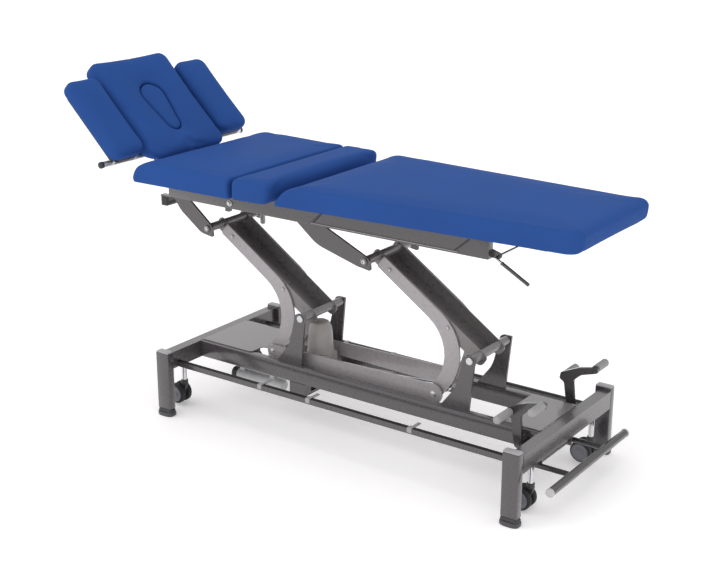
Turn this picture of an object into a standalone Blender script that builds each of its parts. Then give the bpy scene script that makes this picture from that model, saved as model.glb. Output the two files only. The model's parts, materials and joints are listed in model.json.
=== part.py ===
import math

import bmesh
import bpy
from mathutils import Matrix, Vector

for old in list(bpy.data.objects):
    bpy.data.objects.remove(old, do_unlink=True)

# Sizes in metres. X runs from head to foot, Y across, Z up; the base centre is X = Y = 0.
GAP = 0.0003
RUN = 0.0002
PIN = 0.008

# Base
BASE_LENGTH = 1.453
BASE_WIDTH = 0.650
LEG_DEPTH = 0.0565
LEG_THICK = 0.0295
LEG_TOP = 0.238
FOOT_HEIGHT = 0.026
FOOT_EDGE = 0.002
CROSS_WIDTH = 0.0395
CROSS_HEIGHT = 0.062
CROSS_TOP = 0.230
WALL = 0.003
BEAM_INNER = 0.104
BEAM_WIDTH = 0.030
BEAM_HEIGHT = 0.060
TRAY_HALF = 0.120
HEAD_TRAY_LENGTH = 0.227
TONGUE_LENGTH = 0.060
TONGUE_HALF = 0.054
FOOT_TRAY_LENGTH = 0.157
EDGE = 0.003

# Lift linkage
PIVOT_HEIGHT = 0.402
FRONT_PIVOT_X = -0.238
LEVER_SPACING = 0.6692
LEVER_LENGTH = 0.468
LEVER_ANGLE = math.radians(34.0)
BRACKET_INNER = 0.112
BRACKET_THICK = 0.008
BRACKET_CREST = 0.016
BRACKET_EDGE = (0.019, -0.022)
BRACKET_FOOT = 0.108
BRACKET_LEAN = 0.107
BRACKET_SWEEP = 0.120
CHANNEL_HALF = 0.0597
CHANNEL_WALL = 0.004
ARM_TOP = 0.016
ARM_DEPTH = 0.046
TUBE_RADIUS = 0.015
PLATE_INNER = 0.060
PLATE_THICK = 0.006
CRANK_OFFSET = 0.040
CRANK_DROP = 0.223
CRANK_WIDTH = 0.047
BEND_OUTER = 0.165
BEND_INNER = 0.145
TIE_INNER = 0.074
TIE_THICK = 0.006
TIE_FRONT_RADIUS = 0.022
TIE_REAR_RADIUS = 0.034
BOLT_RADIUS = 0.007
HEAD_RADIUS = 0.0125
HEAD_HEIGHT = 0.006

# Actuator
ACTUATOR_X = -0.243
ACTUATOR_Z = 0.200
MOTOR_RADIUS = 0.043
MOTOR_CLEAR = 0.038
HOUSING_HALF = 0.045
BARREL_RADIUS = 0.016
BARREL_END = 0.310
ROD_RADIUS = 0.011
ROD_START = 0.090
TONGUE_THICK = 0.018
EAR_INNER = 0.0525
EAR_THICK = 0.005
STRAP_BOTTOM = 0.128
STRAP_THICK = 0.010
MOUNT_HALF = 0.035

# Control unit under the head tray
UNIT_RADIUS = 0.021
UNIT_LENGTH = 0.240
UNIT_OFFSET = 0.162
UNIT_Z = 0.076
UNIT_STRAP = 0.020

# Top frame
HANGER_RISE = 0.0933
RAIL_LEAD = 0.162
RAIL_LENGTH = 1.296
RAIL_HEIGHT = 0.060
RAIL_INNER = 0.131
RAIL_WIDTH = 0.030
HANGER_INNER = 0.136
HANGER_THICK = 0.008
HANGER_TIP = (0.025, -0.028)
HANGER_HEEL = (-0.028, -0.020)
FRONT_HANGER = (0.160, (-0.121, 0.047), 0.088)
REAR_HANGER = (0.284, (-0.190, 0.025), 0.174)
RECESS_DEPTH = 0.0025
RECESS_LIP = 0.006
RECESS_X = (0.626, 1.192)
RECESS_SLANT = (0.049, 0.043)
CROSS_TUBE = 0.030
CROSS_TUBE_HEIGHT = 0.034
CROSS_TUBE_HALF = 0.150
TONGUE_PLATE = 0.006
RELEASE_OUT = 0.022
RELEASE_UP = 0.011
RELEASE_RADIUS = 0.004
RELEASE_ARM = 0.131
RELEASE_DROP = math.radians(29.0)

# Sections and pads, placed along the rails from their head end
SECTION_DEPTH = 0.027
CHEST_HINGE = 0.425
LEG_HINGE = 0.574
LUG_THICK = 0.005
PAD_THICK = 0.061
CROWN = 0.005
ROLL = 0.020
CHEST_SPAN = (-0.012, 0.418)
CHEST_HALF = (0.336, 0.327)
CHEST_CORNER = (0.024, 0.024)
CHEST_LEAD = 0.042
MID_SPAN = (0.432, 0.553)
MID_HALF = (0.323, 0.315)
MID_CORNER = (0.020, 0.030)
LEG_SPAN = (0.582, 1.630)
LEG_HALF = (0.309, 0.238)
LEG_CORNER = (0.024, 0.050)
LEG_LEAD = 0.040
LEG_FRAME = 1.488
LEG_TIE = 0.768

# Head section, drawn flat about its hinge and tilted by its empty
HEAD_LEAD = 0.042
HEAD_RISE = 0.001
HEAD_TILT = math.radians(44.7)
HEAD_PAD_X = (-0.4578, -0.018)
HEAD_HALF = 0.193
HEAD_CORNER = 0.036
HEAD_BASE = -0.0036
HEAD_THICK = 0.057
SLOT_BIG_X = -0.275
SLOT_BIG_RADIUS = 0.057
SLOT_SMALL_X = -0.151
SLOT_SMALL_RADIUS = 0.034
HEAD_BAR_INNER = 0.100
HEAD_BAR_WIDTH = 0.020
HEAD_BAR_DEPTH = 0.0215
HEAD_BAR_END = -0.360
EAR_RADIUS = 0.013
ARMREST_X = (-0.3971, -0.0648)
ARMREST_Y = (0.199, 0.353)
ARMREST_CORNER = 0.036
ARMREST_BASE = 0.0116
ARMREST_THICK = 0.047
ARM_HINGE_X = -0.085
ARM_HINGE_Z = -0.0151
ARM_TUBE_RADIUS = 0.011
ARM_TUBE_END = 0.370
ARM_PIN = 0.006
BOARD_DEPTH = 0.0164

# Foot controls
PEDAL_SETBACK = 0.041
PEDAL_Z = 0.200
PEDAL_Y = 0.175
PEDAL_THICK = 0.012
PEDAL_STUB = 0.007
PEDAL_PAD_RADIUS = 0.012
PEDAL_RISE = 0.100
PEDAL_REACH = 0.075
PEDAL_BACK = 0.033
PEDAL_CLIMB = 0.046
PEDAL_STEM = 0.028
PEDAL_ARM = 0.020
PEDAL_TIP_A = 0.264
PEDAL_TIP_B = 0.252
BAR_Y = 0.250
BAR_Z = 0.180
BAR_RADIUS = 0.0085
LIFT_PIVOT_SETBACK = 0.011
LIFT_Z = 0.114
LIFT_REACH = 0.124
LIFT_BAR_RADIUS = 0.0135
LIFT_BAR_HALF = 0.263
LIFT_ARM_Y = 0.117
LIFT_ARM_RADIUS = 0.009
LIFT_SHAFT = 0.007
LIFT_LUG_INNER = 0.0975
LIFT_LUG_THICK = 0.006

# Castors
CASTOR_Y = 0.205
CASTOR_TRAIL = 0.025
WHEEL_RADIUS = 0.0375
WHEEL_CLEAR = 0.006
WHEEL_INNER = 0.0075
WHEEL_WIDTH = 0.020
FORK_HALF = 0.0065
FORK_AXLE = 0.004
STEM_RADIUS = 0.0095
STEM_BOTTOM = 0.098
SOCKET_RADIUS = 0.0125
LIFT_BLOCK_BOTTOM = 0.190
LIFT_BLOCK_HEIGHT = 0.012
LIFT_BLOCK_HALF = CROSS_WIDTH / 2 - WALL - GAP

CROSS_INNER = BASE_LENGTH / 2 - CROSS_WIDTH
CROSS_CENTRE = BASE_LENGTH / 2 - CROSS_WIDTH / 2
BEAM_OUTER = BEAM_INNER + BEAM_WIDTH
BEAM_BOTTOM = CROSS_TOP - BEAM_HEIGHT
CROSS_BOTTOM = CROSS_TOP - CROSS_HEIGHT
LEG_INNER = BASE_WIDTH / 2 - LEG_THICK
BRACKET_OUTER = BRACKET_INNER + BRACKET_THICK
REAR_PIVOT_X = FRONT_PIVOT_X + LEVER_SPACING
ARM_BOTTOM = ARM_TOP - ARM_DEPTH
TOP_PIVOT_X = FRONT_PIVOT_X - LEVER_LENGTH * math.cos(LEVER_ANGLE)
TOP_PIVOT_Z = PIVOT_HEIGHT + LEVER_LENGTH * math.sin(LEVER_ANGLE)
TIE_X = FRONT_PIVOT_X - CRANK_OFFSET * math.cos(LEVER_ANGLE) - CRANK_DROP * math.sin(LEVER_ANGLE)
TIE_Z = PIVOT_HEIGHT + CRANK_OFFSET * math.sin(LEVER_ANGLE) - CRANK_DROP * math.cos(LEVER_ANGLE)
ROD_DX = TIE_X + LEVER_SPACING - ACTUATOR_X
ROD_DZ = TIE_Z - ACTUATOR_Z
ROD_LENGTH = math.hypot(ROD_DX, ROD_DZ)
ROD_TILT = math.atan2(ROD_DZ, ROD_DX)
RAIL_OUTER = RAIL_INNER + RAIL_WIDTH
RAIL_HEAD_X = TOP_PIVOT_X - RAIL_LEAD
RAIL_FOOT_X = RAIL_HEAD_X + RAIL_LENGTH
RAIL_BOTTOM = TOP_PIVOT_Z + HANGER_RISE
RAIL_TOP = RAIL_BOTTOM + RAIL_HEIGHT
SECTION_BOTTOM = RAIL_TOP + GAP
PAD_BOTTOM = RAIL_TOP + SECTION_DEPTH
SECTION_TOP = PAD_BOTTOM - GAP
HINGE_Z = (SECTION_BOTTOM + SECTION_TOP) / 2
CHEST_HINGE_X = RAIL_HEAD_X + CHEST_HINGE
LEG_HINGE_X = RAIL_HEAD_X + LEG_HINGE
LEG_FRAME_END = RAIL_HEAD_X + LEG_FRAME
CHEST_X = (RAIL_HEAD_X + CHEST_SPAN[0], RAIL_HEAD_X + CHEST_SPAN[1])
MID_X = (RAIL_HEAD_X + MID_SPAN[0], RAIL_HEAD_X + MID_SPAN[1])
LEG_X = (RAIL_HEAD_X + LEG_SPAN[0], RAIL_HEAD_X + LEG_SPAN[1])
HEAD_X = RAIL_HEAD_X - HEAD_LEAD
HEAD_Z = PAD_BOTTOM + HEAD_RISE
HANGER_OUTER = HANGER_INNER + HANGER_THICK
AXLE_Z = WHEEL_CLEAR + WHEEL_RADIUS
PEDAL_X = CROSS_INNER - PEDAL_SETBACK
LIFT_PIVOT_X = CROSS_INNER - LIFT_PIVOT_SETBACK
LIFT_BAR_X = LIFT_PIVOT_X + LIFT_REACH
UNIT_X = UNIT_OFFSET - CROSS_INNER
MOTOR_TOP = PIVOT_HEIGHT - MOTOR_CLEAR
RELEASE_X = RAIL_FOOT_X + RELEASE_OUT
RELEASE_Z = RAIL_BOTTOM + RELEASE_UP


def paint(name, color, roughness, metallic=0.0):
    material = bpy.data.materials.new(name)
    material.use_nodes = True
    shader = material.node_tree.nodes["Principled BSDF"]
    shader.inputs["Base Color"].default_value = (*color, 1.0)
    shader.inputs["Roughness"].default_value = roughness
    shader.inputs["Metallic"].default_value = metallic
    return material


FRAME = paint("frame_grey", (0.115, 0.105, 0.102), 0.35)
PLATE = paint("plate_grey", (0.36, 0.34, 0.35), 0.4)
VINYL = paint("blue_vinyl", (0.035, 0.095, 0.33), 0.45)
RUBBER = paint("black_rubber", (0.02, 0.02, 0.02), 0.7)
CHROME = paint("chrome", (0.75, 0.75, 0.76), 0.12, 1.0)
BEIGE = paint("housing_grey", (0.42, 0.40, 0.37), 0.45)
LIGHT = paint("light_plastic", (0.62, 0.62, 0.62), 0.4)


def arc(x, z, radius, start, turn, steps):
    return [(x + radius * math.cos(start + turn * k / steps),
             z + radius * math.sin(start + turn * k / steps)) for k in range(steps + 1)]


def rounded(corners, steps=4):
    points = []
    for i, (x, z, radius) in enumerate(corners):
        if radius <= 0:
            points.append((x, z))
            continue
        here = Vector((x, z))
        back = (Vector(corners[i - 1][:2]) - here).normalized()
        ahead = (Vector(corners[(i + 1) % len(corners)][:2]) - here).normalized()
        half = back.angle(ahead) / 2
        centre = here + (back + ahead).normalized() * radius / math.sin(half)
        first = here + back * radius / math.tan(half) - centre
        last = here + ahead * radius / math.tan(half) - centre
        start = math.atan2(first.y, first.x)
        turn = (math.atan2(last.y, last.x) - start + math.pi) % (2 * math.pi) - math.pi
        points += arc(centre.x, centre.y, radius, start, turn, steps)
    return points


def link(ax, az, a_radius, bx, bz, b_radius, steps=10):
    # Outline of two circles joined by their outer tangents.
    heading = math.atan2(bz - az, bx - ax)
    spread = math.acos((a_radius - b_radius) / math.hypot(bx - ax, bz - az))
    a_side = arc(ax, az, a_radius, heading + spread, 2 * (math.pi - spread), steps)
    return a_side + arc(bx, bz, b_radius, heading - spread, 2 * spread, steps)


def place(a, b, c, axis):
    # a and b lie in the outline's plane, c along the axis.
    return {"x": (c, a, b), "y": (a, c, b), "z": (a, b, c)}[axis]


def loft(rings):
    mesh = bmesh.new()
    loops = [[mesh.verts.new(point) for point in ring] for ring in rings]
    for lower, upper in zip(loops, loops[1:]):
        for i in range(len(lower)):
            j = (i + 1) % len(lower)
            mesh.faces.new((lower[i], lower[j], upper[j], upper[i]))
    mesh.faces.new(loops[0])
    mesh.faces.new(loops[-1])
    bmesh.ops.recalc_face_normals(mesh, faces=mesh.faces)
    return mesh


def prism(outline, low, high, axis="y"):
    return loft([[place(a, b, c, axis) for a, b in outline] for c in (low, high)])


def box(x, y, z):
    return prism([(x[0], z[0]), (x[1], z[0]), (x[1], z[1]), (x[0], z[1])], y[0], y[1])


def turned(profile, a, b, axis="y", sides=16):
    # Profile of (position along the axis, radius) about the line through a, b.
    rings = []
    for along, radius in profile:
        circle = arc(a, b, radius, 0.0, 2 * math.pi, sides)[:-1]
        rings.append([place(p, q, along, axis) for p, q in circle])
    return loft(rings)


def rod(low, high, radius, a, b, axis="y", sides=16, chamfer=0.0):
    if chamfer:
        ends = [(low, radius - chamfer), (low + chamfer, radius)]
        ends += [(high - chamfer, radius), (high, radius - chamfer)]
        return turned(ends, a, b, axis, sides)
    return turned([(low, radius), (high, radius)], a, b, axis, sides)


def joined(meshes):
    # Separate shells in one mesh; they don't touch each other.
    whole = bmesh.new()
    for mesh in meshes:
        data = bpy.data.meshes.new("shell")
        mesh.to_mesh(data)
        mesh.free()
        whole.from_mesh(data)
        bpy.data.meshes.remove(data)
    return whole


def mirrored(outline_y, side):
    return tuple(sorted((outline_y[0] * side, outline_y[1] * side)))


BODIES = {}


def body(name, x=0.0, y=0.0, z=0.0, tilt=0.0, parent=None, flat=False):
    # An empty on the joint axis; flat bodies are drawn about their own axis.
    empty = bpy.data.objects.new("at_" + name, None)
    bpy.context.collection.objects.link(empty)
    spot = Matrix.Translation((x, y, z)) @ Matrix.Rotation(tilt, 4, "Y")
    if parent:
        empty.parent = BODIES[parent][0]
        empty.matrix_local = BODIES[parent][1].inverted() @ spot
    else:
        empty.matrix_local = spot
    BODIES[name] = (empty, spot, flat)


def shape(name, mesh, material, owner):
    data = bpy.data.meshes.new(name)
    mesh.to_mesh(data)
    mesh.free()
    thing = bpy.data.objects.new(name, data)
    bpy.context.collection.objects.link(thing)
    empty, spot, flat = BODIES[owner]
    thing.parent = empty
    thing.matrix_local = Matrix.Identity(4) if flat else spot.inverted()
    data.materials.append(material)
    return thing


def make(name, mesh, material, owner, adds=(), cuts=(), edge=0.0):
    thing = shape(name, mesh, material, owner)
    if edge:
        bevel = thing.modifiers.new("edges", "BEVEL")
        bevel.width = edge
        bevel.segments = 2
        bevel.limit_method = "ANGLE"
        bevel.angle_limit = math.radians(50)
    for operation, groups in (("UNION", adds), ("DIFFERENCE", cuts)):
        for number, group in enumerate(groups):
            tool = shape(f"{name}_{operation.lower()}_{number}", joined(group), material, owner)
            tool.hide_render = True
            tool.display_type = "WIRE"
            modifier = thing.modifiers.new(tool.name, "BOOLEAN")
            modifier.operation = operation
            modifier.solver = "EXACT"
            modifier.object = tool
    return thing


def pad_ring(x, half, corner, inset, height, lead, draw, middle_y):
    # One loop of a tapered cushion, drawn in a little between its corners.
    x0 = x[0] + inset + lead
    x1 = x[1] - inset
    slope = (half[1] - half[0]) / (x[1] - x[0])
    corners = ((x1, -1, -math.pi / 2), (x1, 1, 0.0), (x0, 1, math.pi / 2), (x0, -1, math.pi))
    loop = []
    for end, side, start in corners:
        wide = half[0] + slope * (end - x[0]) - inset
        radius = max(corner[1 if end == x1 else 0] - inset, 0.004)
        cx = end - radius if end == x1 else end + radius
        loop.append(arc(cx, side * (wide - radius), radius, start, math.pi / 2, 3))
    points = []
    for i, bend in enumerate(loop):
        points += bend
        steps = 8 if i % 2 else 6
        tail, tip = bend[-1], loop[(i + 1) % 4][0]
        for k in range(1, steps):
            points.append((tail[0] + (tip[0] - tail[0]) * k / steps,
                           tail[1] + (tip[1] - tail[1]) * k / steps))
    centre = (x0 + x1) / 2
    reach = (x1 - x0) / 2
    ring = []
    for px, py in points:
        s = (px - centre) / reach
        t = py / (half[0] + slope * (px - x[0]) - inset)
        qx = px - math.copysign(draw, s) * (1 - t * t) * abs(s) ** 8
        qy = py - math.copysign(draw, t) * (1 - s * s) * abs(t) ** 8
        ring.append((qx, qy + middle_y, height))
    return ring


def cushion(x, half, bottom, thick, corner, lead=0.0, middle_y=0.0, draw=0.003):
    steps = [(0.006, 0.0), (0.0015, 0.003), (0.0, 0.010), (0.0, thick - ROLL)]
    steps += [(ROLL * (1 - math.cos(a)), thick - ROLL + ROLL * math.sin(a))
              for a in (math.pi / 8, math.pi / 4, 3 * math.pi / 8, 0.46 * math.pi)]
    deepest = 0.9 * min(min(half), (x[1] - x[0] - lead) / 2)
    for k in (1, 2, 3):
        share = k / 3
        inset = ROLL + (deepest - ROLL) * share
        steps.append((inset, thick + CROWN * (1 - (1 - share) ** 2)))
    return loft([pad_ring(x, half, corner, inset, bottom + height, lead * height / thick,
                          draw, middle_y) for inset, height in steps])


# Base: feet, legs, cross-beams, long beams and trays
body("base")
for end, end_name in ((-1, "head"), (1, "foot")):
    for side, side_name in ((-1, "near"), (1, "far")):
        outer_x = end * BASE_LENGTH / 2
        leg_x = tuple(sorted((outer_x, outer_x - end * LEG_DEPTH)))
        leg_y = mirrored((LEG_INNER, BASE_WIDTH / 2), side)
        make(f"leg_{end_name}_{side_name}", box(leg_x, leg_y, (FOOT_HEIGHT + GAP, LEG_TOP)),
             FRAME, "base", edge=EDGE)
        rings = []
        for inset, height in ((0.005, 0.0), (0.0, 0.005), (0.0, FOOT_HEIGHT - 0.004), (0.003, FOOT_HEIGHT)):
            grow = FOOT_EDGE - inset
            outline = rounded([(leg_x[0] - grow, leg_y[0] - grow, 0.010),
                               (leg_x[1] + grow, leg_y[0] - grow, 0.010),
                               (leg_x[1] + grow, leg_y[1] + grow, 0.010),
                               (leg_x[0] - grow, leg_y[1] + grow, 0.010)], 3)
            rings.append([(a, b, height) for a, b in outline])
        make(f"foot_{end_name}_{side_name}", loft(rings), RUBBER, "base")

cross_y = LEG_INNER - GAP
for end, end_name in ((-1, "head"), (1, "foot")):
    near, far = CROSS_INNER * end, end * BASE_LENGTH / 2
    wall = WALL * end
    channel = [(near, CROSS_BOTTOM), (near, CROSS_TOP), (far, CROSS_TOP), (far, CROSS_BOTTOM),
               (far - wall, CROSS_BOTTOM), (far - wall, CROSS_TOP - WALL),
               (near + wall, CROSS_TOP - WALL), (near + wall, CROSS_BOTTOM)]
    notch_x = tuple(sorted((near - wall, near + 2 * wall)))
    notch_z = (CROSS_BOTTOM - WALL, BAR_Z + BAR_RADIUS + WALL)
    notches = [box(notch_x, (y - BAR_RADIUS - GAP, y + BAR_RADIUS + GAP), notch_z) for y in (-BAR_Y, BAR_Y)]
    lugs, bores = [], []
    if end > 0:
        outline = rounded([(near + 0.8 * wall, LIFT_Z - 0.014, 0.0), (near + 0.8 * wall, CROSS_TOP - 0.01, 0.0),
                           (near - 0.0007, CROSS_TOP - 0.01, 0.0), (LIFT_PIVOT_X - 0.013, BEAM_BOTTOM, 0.008),
                           (LIFT_PIVOT_X - 0.013, LIFT_Z - 0.014, 0.010)])
        lug_y = (LIFT_LUG_INNER, LIFT_LUG_INNER + LIFT_LUG_THICK)
        lugs = [[prism(outline, *mirrored(lug_y, side)) for side in (-1, 1)]]
        bores = [[rod(-BEAM_INNER, BEAM_INNER, LIFT_SHAFT + RUN, LIFT_PIVOT_X, LIFT_Z)]]
    make(f"{end_name}_crossbeam", prism(channel, -cross_y, cross_y), FRAME, "base",
         adds=lugs, cuts=[notches] + bores)

for side, side_name in ((-1, "near"), (1, "far")):
    long_x = (GAP - CROSS_INNER, CROSS_INNER - GAP)
    beam_y = mirrored((BEAM_INNER, BEAM_OUTER), side)
    brackets, holes = [], []
    for pivot in (FRONT_PIVOT_X, REAR_PIVOT_X):
        root = CROSS_TOP - 0.004
        crest = PIVOT_HEIGHT + BRACKET_CREST
        waist = root + 0.4 * (crest - root)
        outline = rounded([(pivot - BRACKET_LEAN, root, 0.0), (pivot - BRACKET_LEAN + BRACKET_FOOT, root, 0.0),
                           (pivot + BRACKET_EDGE[0], crest, 0.004), (pivot + BRACKET_EDGE[1], crest, BRACKET_CREST),
                           (pivot - 0.45 * BRACKET_LEAN, waist, BRACKET_SWEEP)], 6)
        brackets.append(prism(outline, *mirrored((BRACKET_INNER, BRACKET_OUTER), side)))
        holes.append(rod(*mirrored((BEAM_INNER, BEAM_OUTER), side), PIN + GAP, pivot, PIVOT_HEIGHT))
    stub = rod(*mirrored((BEAM_OUTER - 0.004, PEDAL_Y + PEDAL_THICK), side), PEDAL_STUB, PEDAL_X, PEDAL_Z)
    make(f"beam_{side_name}", box(long_x, beam_y, (BEAM_BOTTOM, CROSS_TOP)), FRAME, "base",
         adds=[brackets + [stub]], cuts=[holes], edge=EDGE)

tray_z = (CROSS_TOP + GAP, CROSS_TOP + GAP + WALL)
head_edge = -CROSS_INNER + GAP
step_x = head_edge + HEAD_TRAY_LENGTH
tip_x = step_x + TONGUE_LENGTH
outline = rounded([(head_edge, -TRAY_HALF, 0.0), (step_x, -TRAY_HALF, 0.015), (step_x, -TONGUE_HALF, 0.015),
                   (tip_x, -TONGUE_HALF, 0.010), (tip_x, TONGUE_HALF, 0.010), (step_x, TONGUE_HALF, 0.015),
                   (step_x, TRAY_HALF, 0.015), (head_edge, TRAY_HALF, 0.0)])
make("head_tray", prism(outline, *tray_z, "z"), FRAME, "base")
foot_edge = CROSS_INNER - GAP
outline = rounded([(foot_edge - FOOT_TRAY_LENGTH, -TRAY_HALF, 0.015), (foot_edge, -TRAY_HALF, 0.0),
                   (foot_edge, TRAY_HALF, 0.0), (foot_edge - FOOT_TRAY_LENGTH, TRAY_HALF, 0.015)])
make("foot_tray", prism(outline, *tray_z, "z"), FRAME, "base")

for pivot, name in ((FRONT_PIVOT_X, "front"), (REAR_PIVOT_X, "rear")):
    seat = BRACKET_OUTER + GAP
    half = [(seat, PIN), (seat, HEAD_RADIUS), (seat + HEAD_HEIGHT - 0.002, HEAD_RADIUS),
            (seat + HEAD_HEIGHT, HEAD_RADIUS - 0.003)]
    profile = [(-y, r) for y, r in reversed(half)] + half
    make(f"{name}_base_axle", turned(profile, pivot, PIVOT_HEIGHT), CHROME, "base")

# Control unit: a capsule hung from the head tray on two straps
unit_ends = (UNIT_X - UNIT_LENGTH / 2, UNIT_X + UNIT_LENGTH / 2)
straps = [box((x - UNIT_STRAP / 2, x + UNIT_STRAP / 2), (-0.010, 0.010), (UNIT_Z, CROSS_TOP))
          for x in (UNIT_X - 0.075, UNIT_X + 0.065)]
make("control_unit", rod(*unit_ends, UNIT_RADIUS, 0.0, UNIT_Z, "x", 24, 0.006), LIGHT, "base",
     adds=[straps])

# Actuator mount: a strap under both beams with two ears for the motor's trunnion
riser_top = BEAM_BOTTOM - GAP
strap_top = STRAP_BOTTOM + STRAP_THICK
ear_outer = EAR_INNER + EAR_THICK
ear_top = ACTUATOR_Z + PIN + 0.008
half = [(BEAM_OUTER, STRAP_BOTTOM), (BEAM_OUTER, riser_top), (BEAM_INNER, riser_top), (BEAM_INNER, strap_top),
        (ear_outer, strap_top), (ear_outer, ear_top), (EAR_INNER, ear_top), (EAR_INNER, strap_top)]
outline = half + [(-y, z) for y, z in reversed(half)]
make("actuator_mount", prism(outline, ACTUATOR_X - MOUNT_HALF, ACTUATOR_X + MOUNT_HALF, "x"), FRAME, "base",
     cuts=[[rod(-ear_outer - 0.01, ear_outer + 0.01, PIN + RUN, ACTUATOR_X, ACTUATOR_Z)]])

# Actuator: bell-shaped motor on a gear housing, barrel and sliding rod
body("actuator", ACTUATOR_X, 0.0, ACTUATOR_Z, -ROD_TILT, "base", flat=True)
bell_top = MOTOR_TOP - ACTUATOR_Z
skirt = HOUSING_HALF - 0.004
bell = turned([(skirt, MOTOR_RADIUS), (skirt + 0.010, MOTOR_RADIUS + 0.006), (skirt + 0.022, MOTOR_RADIUS + 0.002),
               (bell_top - 0.045, MOTOR_RADIUS), (bell_top - 0.022, MOTOR_RADIUS - 0.004),
               (bell_top - 0.006, MOTOR_RADIUS - 0.013), (bell_top, MOTOR_RADIUS - 0.024)], 0.0, 0.0, "z", 32)
bmesh.ops.rotate(bell, verts=bell.verts, matrix=Matrix.Rotation(ROD_TILT, 3, "Y"))
gearbox = box((-HOUSING_HALF, HOUSING_HALF), (-HOUSING_HALF, HOUSING_HALF), (-HOUSING_HALF, HOUSING_HALF))
trunnion = rod(-ear_outer, ear_outer, PIN, 0.0, 0.0)
barrel = rod(HOUSING_HALF - 0.01, BARREL_END, BARREL_RADIUS, 0.0, 0.0, "x")
bore = rod(ROD_START - 0.045, BARREL_END + 0.01, ROD_RADIUS + RUN, 0.0, 0.0, "x")
make("actuator_motor", gearbox, BEIGE, "actuator", adds=[[bell, barrel], [trunnion]], cuts=[[bore]], edge=0.006)
body("thrust", ACTUATOR_X, 0.0, ACTUATOR_Z, -ROD_TILT, "actuator", flat=True)
eye = link(ROD_LENGTH, 0.0, 0.018, ROD_LENGTH - 0.035, 0.0, 0.012)
make("actuator_rod", rod(ROD_START, ROD_LENGTH - 0.030, ROD_RADIUS, 0.0, 0.0, "x"), CHROME, "thrust",
     adds=[[prism(eye, -TONGUE_THICK / 2, TONGUE_THICK / 2)]])

# Lift levers: channel with pivot tubes, and a boomerang plate bolted to each side
band = rounded([(-LEVER_LENGTH - 0.022, ARM_BOTTOM, 0.018), (0.026, ARM_BOTTOM, 0.018),
                (0.026, ARM_TOP, 0.014), (-LEVER_LENGTH - 0.022, ARM_TOP, 0.014)])
crank_right = -CRANK_OFFSET + CRANK_WIDTH / 2
crank_left = -CRANK_OFFSET - CRANK_WIDTH / 2
crank_end = -CRANK_DROP - CRANK_WIDTH / 2
arm_end = -LEVER_LENGTH + TUBE_RADIUS + 0.003
boomerang = rounded([(arm_end, ARM_BOTTOM, 0.004), (crank_left, ARM_BOTTOM, BEND_INNER),
                     (crank_left, crank_end, CRANK_WIDTH / 2 - 0.0005),
                     (crank_right, crank_end, CRANK_WIDTH / 2 - 0.0005),
                     (crank_right, ARM_TOP, BEND_OUTER), (arm_end, ARM_TOP, 0.004)], 8)
for pivot, name in ((FRONT_PIVOT_X, "front"), (REAR_PIVOT_X, "rear")):
    body(f"{name}_lever", pivot, 0.0, PIVOT_HEIGHT, LEVER_ANGLE, "base", flat=True)
    walls = [prism(band, *mirrored((CHANNEL_HALF - CHANNEL_WALL, CHANNEL_HALF), side)) for side in (-1, 1)]
    web_y = CHANNEL_HALF - CHANNEL_WALL / 2
    web = box((-LEVER_LENGTH, 0.0), (-web_y, web_y), (ARM_BOTTOM, ARM_BOTTOM + CHANNEL_WALL))
    tube = rod(GAP - BRACKET_INNER, BRACKET_INNER - GAP, TUBE_RADIUS, 0.0, 0.0)
    seat = HANGER_OUTER + GAP
    half = [(HANGER_INNER - GAP, TUBE_RADIUS), (HANGER_INNER - GAP, PIN), (seat, PIN), (seat, HEAD_RADIUS),
            (seat + HEAD_HEIGHT - 0.002, HEAD_RADIUS), (seat + HEAD_HEIGHT, HEAD_RADIUS - 0.003)]
    upper = turned([(-y, r) for y, r in reversed(half)] + half, -LEVER_LENGTH, 0.0)
    make(f"{name}_channel", joined(walls), FRAME, f"{name}_lever", adds=[[web, tube, upper]],
         cuts=[[rod(-BRACKET_OUTER, BRACKET_OUTER, PIN + RUN, 0.0, 0.0)]])
    for side, side_name in ((-1, "near"), (1, "far")):
        plate_y = (PLATE_INNER, PLATE_INNER + PLATE_THICK)
        head_y = mirrored((PLATE_INNER + PLATE_THICK - 0.002, PLATE_INNER + PLATE_THICK + 0.004), side)
        bolt_z = (ARM_TOP + ARM_BOTTOM) / 2
        bolts = [rod(*head_y, BOLT_RADIUS, -share * LEVER_LENGTH, bolt_z) for share in (0.87, 0.29)]
        eye = rod(*mirrored((PLATE_INNER - 0.01, PLATE_INNER + PLATE_THICK + 0.01), side), PIN + RUN,
                  -CRANK_OFFSET, -CRANK_DROP)
        make(f"{name}_plate_{side_name}", prism(boomerang, *mirrored(plate_y, side)), PLATE, f"{name}_lever",
             adds=[bolts], cuts=[[eye]])

# Tie plates between the cranks, each with a pin through both crank ends
body("tie", TIE_X, 0.0, TIE_Z, 0.0, "front_lever")
tie_outline = link(TIE_X, TIE_Z, TIE_FRONT_RADIUS, TIE_X + LEVER_SPACING, TIE_Z, TIE_REAR_RADIUS)
for side, side_name in ((-1, "near"), (1, "far")):
    pins = []
    for x, tip in ((TIE_X, PLATE_INNER - 0.001), (TIE_X + LEVER_SPACING, TONGUE_THICK / 2 + 0.0005)):
        shoulder = PLATE_INNER + PLATE_THICK + GAP
        steps = [(tip, PIN), (shoulder, PIN), (shoulder, PIN + 0.006), (TIE_INNER + 0.002, PIN + 0.006)]
        pins.append(turned([(y * side, r) for y, r in steps], x, TIE_Z))
    make(f"tie_plate_{side_name}", prism(tie_outline, *mirrored((TIE_INNER, TIE_INNER + TIE_THICK), side)),
         PLATE, "tie", adds=[pins])

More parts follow.
